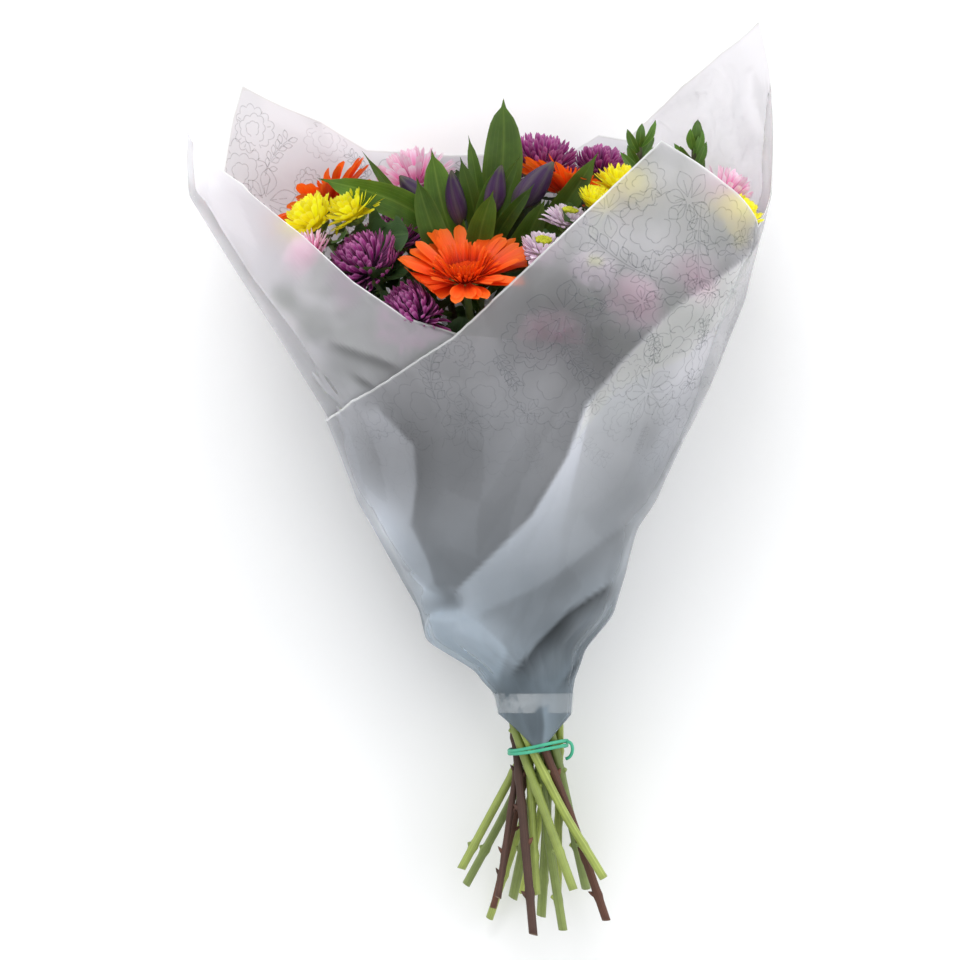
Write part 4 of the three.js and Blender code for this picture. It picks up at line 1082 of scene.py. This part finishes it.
def add_sprig(piece, line, sprig, draw):
    """Pairs of narrow leaves up a greenery stem, and one at its tip."""
    low, high, length, pairs = sprig
    half = length * 0.14
    for i in range(2 * pairs):
        hand = 1 if i % 2 else -1
        root = on_line(line, low + (high - low) * i / (2 * pairs - 1))
        spread = unit([hand * 0.4 + draw.normal(0, 0.16), 0.9, 0.1 + draw.normal(0, 0.3)])
        reach = length * draw.uniform(0.75, 1.1)
        up = unit([draw.normal(0, 0.4), -0.25, 1])
        add_leaf(piece, root, root + spread * reach, half, "sprig", draw, up, 1.5)
    add_leaf(piece, line[-1], line[-1] + unit([0.1, 1, 0.1]) * length * 0.7, half, "sprig", draw)


def make_bud(name, foot, tip, radius):
    """A closed bud of three outer petals that overlap in a spiral."""
    draw = random_of(name)
    axis = np.subtract(tip, foot)
    length = np.linalg.norm(axis)
    rows, sides = 22, 24
    t = np.linspace(0, 1, rows)[:, None]
    turn = np.arange(sides) * 2 * np.pi / sides
    swell = np.sin(np.pi * np.clip(t * 0.96 + 0.02, 0, 1) ** 0.8) ** 0.8
    spiral = turn[None] + 1.1 * t
    around = radius * swell * (1 + 0.09 * np.cos(3 * spiral) + 0.04 * np.cos(6 * spiral))
    points = stacked(around * np.cos(turn), around * np.sin(turn), t * length)[None]
    marks = stacked(t, (np.cos(3 * spiral) + 1) / 2, draw.uniform())[None]
    piece = Piece(name + "_fine")
    piece.grids(turned(points, axis, foot), marks, "bud", around=True)
    piece.done("bud", name)


# Wrapper


def eased(table, y):
    """The table's value at y, with its bends rounded off."""
    return sum(value_at(table, y + d) for d in np.linspace(-ROUNDING, ROUNDING, 7)) / 7


def section(y):
    """Centre and half width across, and centre and half depth, of the wrapper at a height."""
    left, right, back, front = (eased(table, y) for table in (LEFT, RIGHT, BACK, FRONT))
    return ((left + right) / 2, (right - left) / 2), ((back + front) / 2, (front - back) / 2)


def creases(x, y, front):
    """How far the creases lift the film, and the painted light and shade on their sides."""
    lift, tone = np.zeros_like(x), np.zeros_like(x)
    for line, left, left_painted_shade, high, right, right_painted_shade in FOLDS:
        nearest, off = np.full_like(x, 1e9), np.zeros_like(x)
        for (x0, y0), (x1, y1) in zip(line, line[1:]):
            run, rise = x1 - x0, y1 - y0
            share = np.clip(((x - x0) * run + (y - y0) * rise) / (run**2 + rise**2), 0, 1)
            away = np.hypot(x - x0 - share * run, y - y0 - share * rise)
            closer = away < nearest
            nearest = np.where(closer, away, nearest)
            off = np.where(closer, (run * (y - y0) - rise * (x - x0)) / math.hypot(run, rise), off)
        ends = np.minimum(
            np.hypot(x - line[0][0], y - line[0][1]), np.hypot(x - line[-1][0], y - line[-1][1])
        )
        side = smooth(0.5 + off / SOFT_SIDE)
        ridge = np.clip(1 - nearest / (left + (right - left) * side), 0, 1) * smooth(ends / 14)
        lift += high * ridge * (0.35 + 0.65 * ridge)
        # painted light and shade on the crease's two sides
        tone += (left_painted_shade + (right_painted_shade - left_painted_shade) * side) * ridge
    shown = smooth((front - 0.05) / 0.4)
    return lift * shown, tone * shown


def panels(turn, y):
    """Flat panels round the wrapper: how far each point stands out, and its panel's own draw."""
    angle = np.radians(turn)
    around = PANELS["around"] * turn / 360 + 0.4 * np.sin(y / 33 + 1.0)
    up = y / PANELS["height"] + 0.35 * np.sin(3 * angle) + 0.25 * np.sin(7 * angle + 1.0)
    i, j = np.floor(around).astype(int), np.floor(up).astype(int)
    a, b = around - i, up - j

    def knot(right, above):
        return PANEL_DRAWS[0, (i + right) % PANELS["around"], (j + above) % PANELS["up"]]

    low = knot(0, 0) * (1 - a - b) + knot(1, 0) * a + knot(0, 1) * b
    high = knot(1, 1) * (a + b - 1) + knot(0, 1) * (1 - a) + knot(1, 0) * (1 - b)
    place = (i % PANELS["around"], j % PANELS["up"])
    under = a + b < 1
    return np.where(under, low, high), np.where(under, PANEL_DRAWS[1][place], PANEL_DRAWS[2][place])


def film_painted_shade(turn, y):
    """The painted light and shade of the film at a turn and height: 0.5 is plain."""
    angle = np.radians(turn)
    (x, across), _ = section(y)
    x, front = x - across * np.sin(angle), np.cos(angle)
    _, tone = creases(x, y, front)
    # Painted light and shade in places on the film's front.
    for px, py, reach, more in PAINTED_SHADE_PLACES:
        tone = tone + more * np.exp(-((x - px) ** 2 + (y - py) ** 2) / reach**2) * (front > 0)
    # Painted light and shade on the sheets round the heads, by the turn.
    tone = tone + value_at(SHEET_PAINTED_SHADE, turn) * rising("sheets", y)
    # Each panel's own draw adds a little painted light and shade.
    _, own = panels(turn, y)
    return np.clip(0.5 + tone + (own - 0.5) * 2 * PANELS["tone"], 0, 1)


def film_points(turn, y, outward):
    """Points of the film at a turn in degrees and a height, outward from its middle."""
    angle = np.radians(turn)
    (x, across), (z, deep) = section(y)
    layer = FILM_LAYER * (turn - FILM["start"]) / 360
    above_neck = rising("waves", y)
    waves = sum(h * np.sin(n * angle + y / up + phase) for h, n, up, phase in WAVES) * above_neck
    gather = rising("folds", y) * (1 - rising("folds_end", y))
    gathers = gather * sum(h * np.abs(np.sin(n * angle + y / up + phase)) for h, n, up, phase in GATHERS)
    lift, _ = creases(x - across * np.sin(angle), y, np.cos(angle))
    flats, _ = panels(turn, y)
    flats = flats * PANELS["lift"] * above_neck * (1 - 0.55 * rising("flatter", y))
    grow = outward + layer + waves + gathers + lift + flats
    points = stacked(x - (across + grow) * np.sin(angle), y, z + (deep + grow) * np.cos(angle))
    points[..., 2] = np.maximum(points[..., 2], FILM["thickness"] / 2 - outward + CLEAR)
    return points


def pressed(points):
    """The points, with those that would reach the film drawn in to lie against it."""
    x, y, z = np.moveaxis(points, -1, 0)
    (cx, across), (cz, deep) = section(y)
    across, deep = across - PRESS, deep - PRESS
    over, up = (x - cx) / across, (z - cz) / deep
    share = np.hypot(over, up)
    turn = np.degrees(np.arctan2(-over, up))
    turn = np.where(turn < FILM["start"], turn + 360, turn)
    top = np.maximum(top_edge(turn), np.where(turn + 360 < FILM["end"], top_edge(turn + 360), -999))
    covered = smooth((top - y + 1) / 6)
    start, room = PRESSED["from"], PRESSED["room"]
    soft = np.where(share > start, start + room * np.tanh((share - start) / room), share)
    scale = 1 + (soft / np.maximum(share, 1e-6) - 1) * covered
    return stacked(cx + (x - cx) * scale, y, np.maximum(cz + (z - cz) * scale, LOWEST))


def flap_turns():
    """Turns and heights at which the film crosses the flap's free edge."""
    turn = np.linspace(FLAP, FILM["end"], 140)
    y = np.linspace(20, 240, 441)[:, None]
    (x, across), _ = section(y)
    here = x - across * np.sin(np.radians(turn))
    above = y > value_at(FLAP_EDGE[::-1], here)
    found = y[np.argmax(above, 0), 0]
    found[0] = FLAP_EDGE[0][1]
    return turn, found


def top_edge(turn):
    """Height of the wrapper's top edge at a turn."""
    return np.where(turn < FLAP, value_at(TOP_EDGE, turn), np.interp(turn, *FLAP_TURNS))


def bottom_edge(turn):
    """Height of the lower edge, which comes down to a straight-sided tip in front."""
    off = np.radians(np.clip(turn - BOTTOM["tip_turn"], -90, 90))
    return BOTTOM["height"] + (BOTTOM["tip"] - BOTTOM["height"]) * (1 - np.abs(np.sin(off)))


def film_turns():
    """The film's columns, closer together in front than round the back."""
    even = np.linspace(0, 1, FILM["columns"])
    dense = value_at([(0, FILM["start"]), *SPARSE, (1, FILM["end"])], even)
    corners = [place for place, _ in TOP_EDGE]
    return np.unique(np.r_[dense, corners, BOTTOM["tip_turn"]])


def capped(rows, cap, low):
    """The rows with one more from the cap, before the first or after the last."""
    return np.concatenate([cap[:1], rows] if low else [rows, cap[-1:]])


def make_film():
    """The film as one loop of its two faces, with the white border as a part of its own."""
    piece = Piece("wrap_film")
    turn = film_turns()
    low, high = bottom_edge(turn), top_edge(turn)
    rim = film_points(turn, high, 0)
    arc = np.r_[0, np.cumsum(np.hypot(*np.diff(rim[:, [0, 2]], axis=0).T))]
    slope = np.gradient(high, arc)
    strip = BORDER * np.sqrt(1 + np.clip(slope, -2.5, 2.5) ** 2)
    share = np.linspace(0, 1, FILM["rows"])[:, None]
    rows = low + (high - strip - low) * share
    heights = {"film": rows, "border": np.stack([high - strip, high - strip / 2, high])}
    half = FILM["thickness"] / 2
    for material, y in heights.items():
        turns = np.broadcast_to(turn, y.shape)
        outer, inner = (film_points(turns, y, side) for side in (half, -half))
        loop = np.concatenate([outer, inner[:, ::-1]], 1)
        loop = capped(loop, (loop + loop[:, ::-1]) / 2, material == "film")
        marks = np.zeros(loop.shape)
        marks[..., 0] = np.clip((loop[..., 1] - MARKED[0]) / MARKED[1], 0, 1)
        # The film's painted light and shade, which the second mark carries to its material.
        tone = film_painted_shade(turns, y)
        if material == "border":
            # Painted shade on the border where the flap covers it.
            tone = tone + HIDDEN_EDGE_SHADE["tone"] * (turns < HIDDEN_EDGE_SHADE["turn"])
        tone = np.concatenate([tone, tone[:, ::-1]], 1)
        marks[..., 1] = capped(tone, tone, material == "film")
        piece.grids(loop[None], marks[None], material, around=True)
    made = piece.done("film", "wrap")


def petal_outline(reach, wide, lean, draw):
    """One pointed petal along X, as the line round it."""
    u = np.linspace(0, 1, 9)
    sides = [wide * draw.uniform(0.8, 1.2) * np.sin(np.pi * u**1.25) * way for way in (1, -1)]
    off = np.r_[sides[0], sides[1][::-1]] + lean * np.r_[u, u[::-1]] ** 2
    return stacked(reach * (0.14 + 0.86 * np.r_[u, u[::-1]]), off)


def rotated(line, angle):
    turn = np.array([[math.cos(angle), math.sin(angle)], [-math.sin(angle), math.cos(angle)]])
    return line @ turn


def lily_outline(radius, draw):
    """A flower of five or six pointed petals with a rib in each."""
    lines = []
    count = int(draw.integers(5, 7))
    for k in range(count):
        angle = (k + draw.uniform(-0.15, 0.15)) * 2 * np.pi / count
        reach = radius * draw.uniform(0.75, 1.1)
        petal = petal_outline(reach, radius * 0.25, radius * draw.uniform(-0.15, 0.15), draw)
        rib = stacked(np.linspace(0.2, 0.7, 5) * reach, 0)
        lines += [rotated(petal, angle), rotated(rib, angle)]
    return lines


def frilled_outline(radius, draw):
    """A frilled flower: loose rings of scallops inside each other."""
    lines = []
    for share, frills in ((1.0, 13), (0.66, 9), (0.34, 6)):
        turn = np.linspace(0, 2 * np.pi, 8 * frills + 1)
        frill = 0.16 * np.abs(np.sin(turn * frills / 2)) + 0.07 * np.sin(3 * turn + draw.uniform(0, 6))
        away = radius * share * (0.86 + frill)
        lines.append(stacked(away * np.cos(turn), away * np.sin(turn))[: -int(draw.integers(3, 9))])
    for angle in draw.uniform(0, 2 * np.pi, 7):
        spoke = stacked(np.linspace(0.72, 0.9, 4) * radius, 0)
        lines.append(rotated(spoke, angle))
    return lines


def spray_outline(radius, draw):
    """A bent stalk with pairs of small leaves."""
    t = np.linspace(-1, 1, 15)
    bend = draw.uniform(-0.3, 0.3)
    stalk = stacked(t * radius, bend * radius * (1 - t**2))
    lines = [stalk]
    for k in range(2, 14, 2):
        for hand in (1, -1):
            leaf_line = petal_outline(radius * 0.45, radius * 0.1, 0, draw)
            lines.append(rotated(leaf_line, hand * draw.uniform(0.6, 0.9)) + stalk[k])
    return lines


def make_print():
    """Flower outlines in thin grey lines on the film, stronger towards the top."""
    piece = Piece("film_print")
    draw = random_of("print")
    outlines = [lily_outline, frilled_outline, spray_outline, frilled_outline]
    (first, last), (lowest, highest) = PRINT["turns"], PRINT["heights"]
    for spot in range(PRINT["count"]):
        centre = first + (last - first) * ((spot * PRINT["step"]) % 1)
        y = lowest + (highest - lowest) * (spot + 0.5) / PRINT["count"]
        radius = draw.uniform(*PRINT["radius"])
        room = float(top_edge(centre)) - BORDER - y
        strength = float(rising("print", y) * smooth((room - radius * 0.2) / 10))
        if room < radius * 0.5 or strength < 0.06:
            continue
        (_, across), (_, deep) = section(y)
        angle = math.radians(centre)
        arc = math.hypot(across * math.cos(angle), deep * math.sin(angle)) * math.pi / 180
        spin = draw.uniform(0, 2 * np.pi)
        for line in outlines[spot % 4](radius, draw):
            add_ink(piece, rotated(line, spin), centre, y, arc, strength)
    piece.done("film")


def add_ink(piece, line, centre, y, arc, strength):
    """A line of the print, drawn on the film round a spot."""
    ahead = unit(np.gradient(line, axis=0) + 1e-9)
    side = stacked(-ahead[:, 1], ahead[:, 0]) * INK / 2
    flat = np.stack([line - side, line + side], 1)
    turns = np.clip(centre + flat[..., 0] / arc, FILM["start"] + 1, FILM["end"] - 1)
    heights = y + flat[..., 1]
    inside = heights[:, 0] < top_edge(turns[:, 0]) - INK_EDGE
    if inside.sum() < 3:
        return
    heights = np.minimum(heights, top_edge(turns) - INK_EDGE)
    away = FILM["thickness"] / 2 + INK_OFF
    points = film_points(turns, heights, away if centre > INK_OUTSIDE else -away)
    piece.grids(points[None], (strength, 0.5, 0.5), "print")


def make_tape():
    """A clear strip round the neck, over the wrapper's outer layer."""
    piece = Piece("neck_tape_fine")
    turn = np.linspace(0, 360, 97)[:-1]
    angle = np.radians(turn)
    layer = value_at(TAPE["layers"], turn)
    y = np.linspace(TAPE["low"], TAPE["high"], 9)[:, None]
    (x, across), (z, deep) = section(y)
    grow = layer + TAPE["off"] + 0.12 * np.sin(11 * angle + y) + 0.1 * np.sin(23 * angle)
    outer = stacked(x - (across + grow) * np.sin(angle), y, z + (deep + grow) * np.cos(angle))
    centre = outer.mean(1, keepdims=True)
    inner = outer - unit(outer - centre) * TAPE["thickness"]
    grid = np.concatenate([inner, outer[::-1], inner[:1]])
    piece.grids(grid[None], (0.5, 0.5, 0.5), "tape", around=True)
    piece.done("tape", "neck_tape")


def make_band():
    """The rubber band: two flat turns round the stems, and a short loop at the right."""
    points, _ = packed("rubber_band")
    middle = (points.min(0) + points.max(0)) / 2
    x, _, z = (points - middle).T
    turn, out = np.arctan2(z, x), np.hypot(z, x)
    outermost = out > np.median(out)
    order = np.argsort(turn[outermost])
    places, reach = turn[outermost][order], out[outermost][order] - 0.5
    piece = Piece("rubber_band_fine")
    for phase, offset, slope in BAND["turns"]:
        angle = np.linspace(-np.pi, np.pi, 96, endpoint=False)
        far = np.interp(angle, places, reach, period=2 * np.pi)
        y = middle[1] + offset + slope * np.cos(angle) + 0.5 * np.sin(2 * angle + phase)
        line = stacked(middle[0] + far * np.cos(angle), y, middle[2] + far * np.sin(angle))
        ahead = unit(np.roll(line, -1, 0) - np.roll(line, 1, 0))
        outward = unit((line - middle) * [1, 0, 1])
        upward = np.cross(outward, ahead)
        ring = np.arange(10) * 2 * np.pi / 10
        grid = (
            line[:, None]
            + outward[:, None] * (BAND["thick"] * np.cos(ring))[None, :, None]
            + upward[:, None] * (BAND["wide"] * np.sin(ring))[None, :, None]
        )
        grid = np.concatenate([grid, grid[:1]])
        piece.grids(grid[None], (0.5, 0.5, 0.5), "band", around=True)
    start, end = np.array([points[:, 0].max(), *middle[1:]]) + BAND["ends"]
    loop = bezier(start, start + [5, 2, 2], end + [5.5, 1, 2], end, 18)
    grid = tube(loop, np.full(18, BAND["loop"]), 10)
    piece.grids(grid, (0.5, 0.5, 0.5), "band", around=True)
    piece.done("band", "rubber_band")


# Floor, lights and camera


def make_stage():
    mesh = bpy.data.meshes.new("floor")
    corners = [(x * FLOOR, y * FLOOR, 0) for x, y in ((-1, -1), (1, -1), (1, 1), (-1, 1))]
    mesh.from_pydata(corners, [], [(0, 1, 2, 3)])
    mesh.materials.append(floor_material())
    floor = bpy.data.objects.new("floor", mesh)
    bpy.context.collection.objects.link(floor)

    world = bpy.data.worlds.new("studio")
    bpy.context.scene.world = world
    world.use_nodes = True
    background = world.node_tree.nodes["Background"]
    background.inputs[0].default_value = WORLD["colour"]
    background.inputs[1].default_value = WORLD["strength"]

    for name, place, size, power in LAMPS:
        light = bpy.data.lights.new(name, "AREA")
        light.size = size
        light.energy = power
        lamp = bpy.data.objects.new(name, light)
        lamp.location = place
        ahead = Vector(LIT) - lamp.location
        lamp.rotation_euler = ahead.to_track_quat("-Z", "Y").to_euler()
        bpy.context.collection.objects.link(lamp)


def make_camera():
    camera = bpy.data.cameras.new("camera")
    camera.sensor_width = 36
    camera.lens = 36 * VIEW["distance"] / VIEW["field"]
    camera.clip_end = 100
    eye = bpy.data.objects.new("camera", camera)
    eye.location = (0, 0, (VIEW["height"] + VIEW["distance"]) * MM)
    bpy.context.collection.objects.link(eye)
    bpy.context.scene.camera = eye


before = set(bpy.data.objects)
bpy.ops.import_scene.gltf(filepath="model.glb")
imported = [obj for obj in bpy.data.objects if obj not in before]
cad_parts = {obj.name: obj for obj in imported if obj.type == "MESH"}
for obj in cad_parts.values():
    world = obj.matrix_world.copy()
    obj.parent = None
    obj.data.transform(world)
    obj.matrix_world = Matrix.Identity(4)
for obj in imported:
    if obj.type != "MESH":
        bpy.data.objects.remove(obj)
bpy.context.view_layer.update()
MATERIALS = make_materials()
FLAP_TURNS = flap_turns()
PANEL_DRAWS = random_of("panels").uniform(0, 1, (3, PANELS["around"], PANELS["up"]))
make_camera()
make_stage()
for head in HEADS:
    make_head(*head)
    if kind_of(head[0]) in CENTRES:
        make_centre(*head)
for name, stem in STEMS.items():
    make_stem(name, *stem)
for name, _, foot, tip, radius in BUDS:
    make_bud(name, foot, tip, radius)
make_film()
make_print()
make_tape()
make_band()

scene = bpy.context.scene
scene.view_settings.view_transform = "Standard"
scene.cycles.use_denoising = True
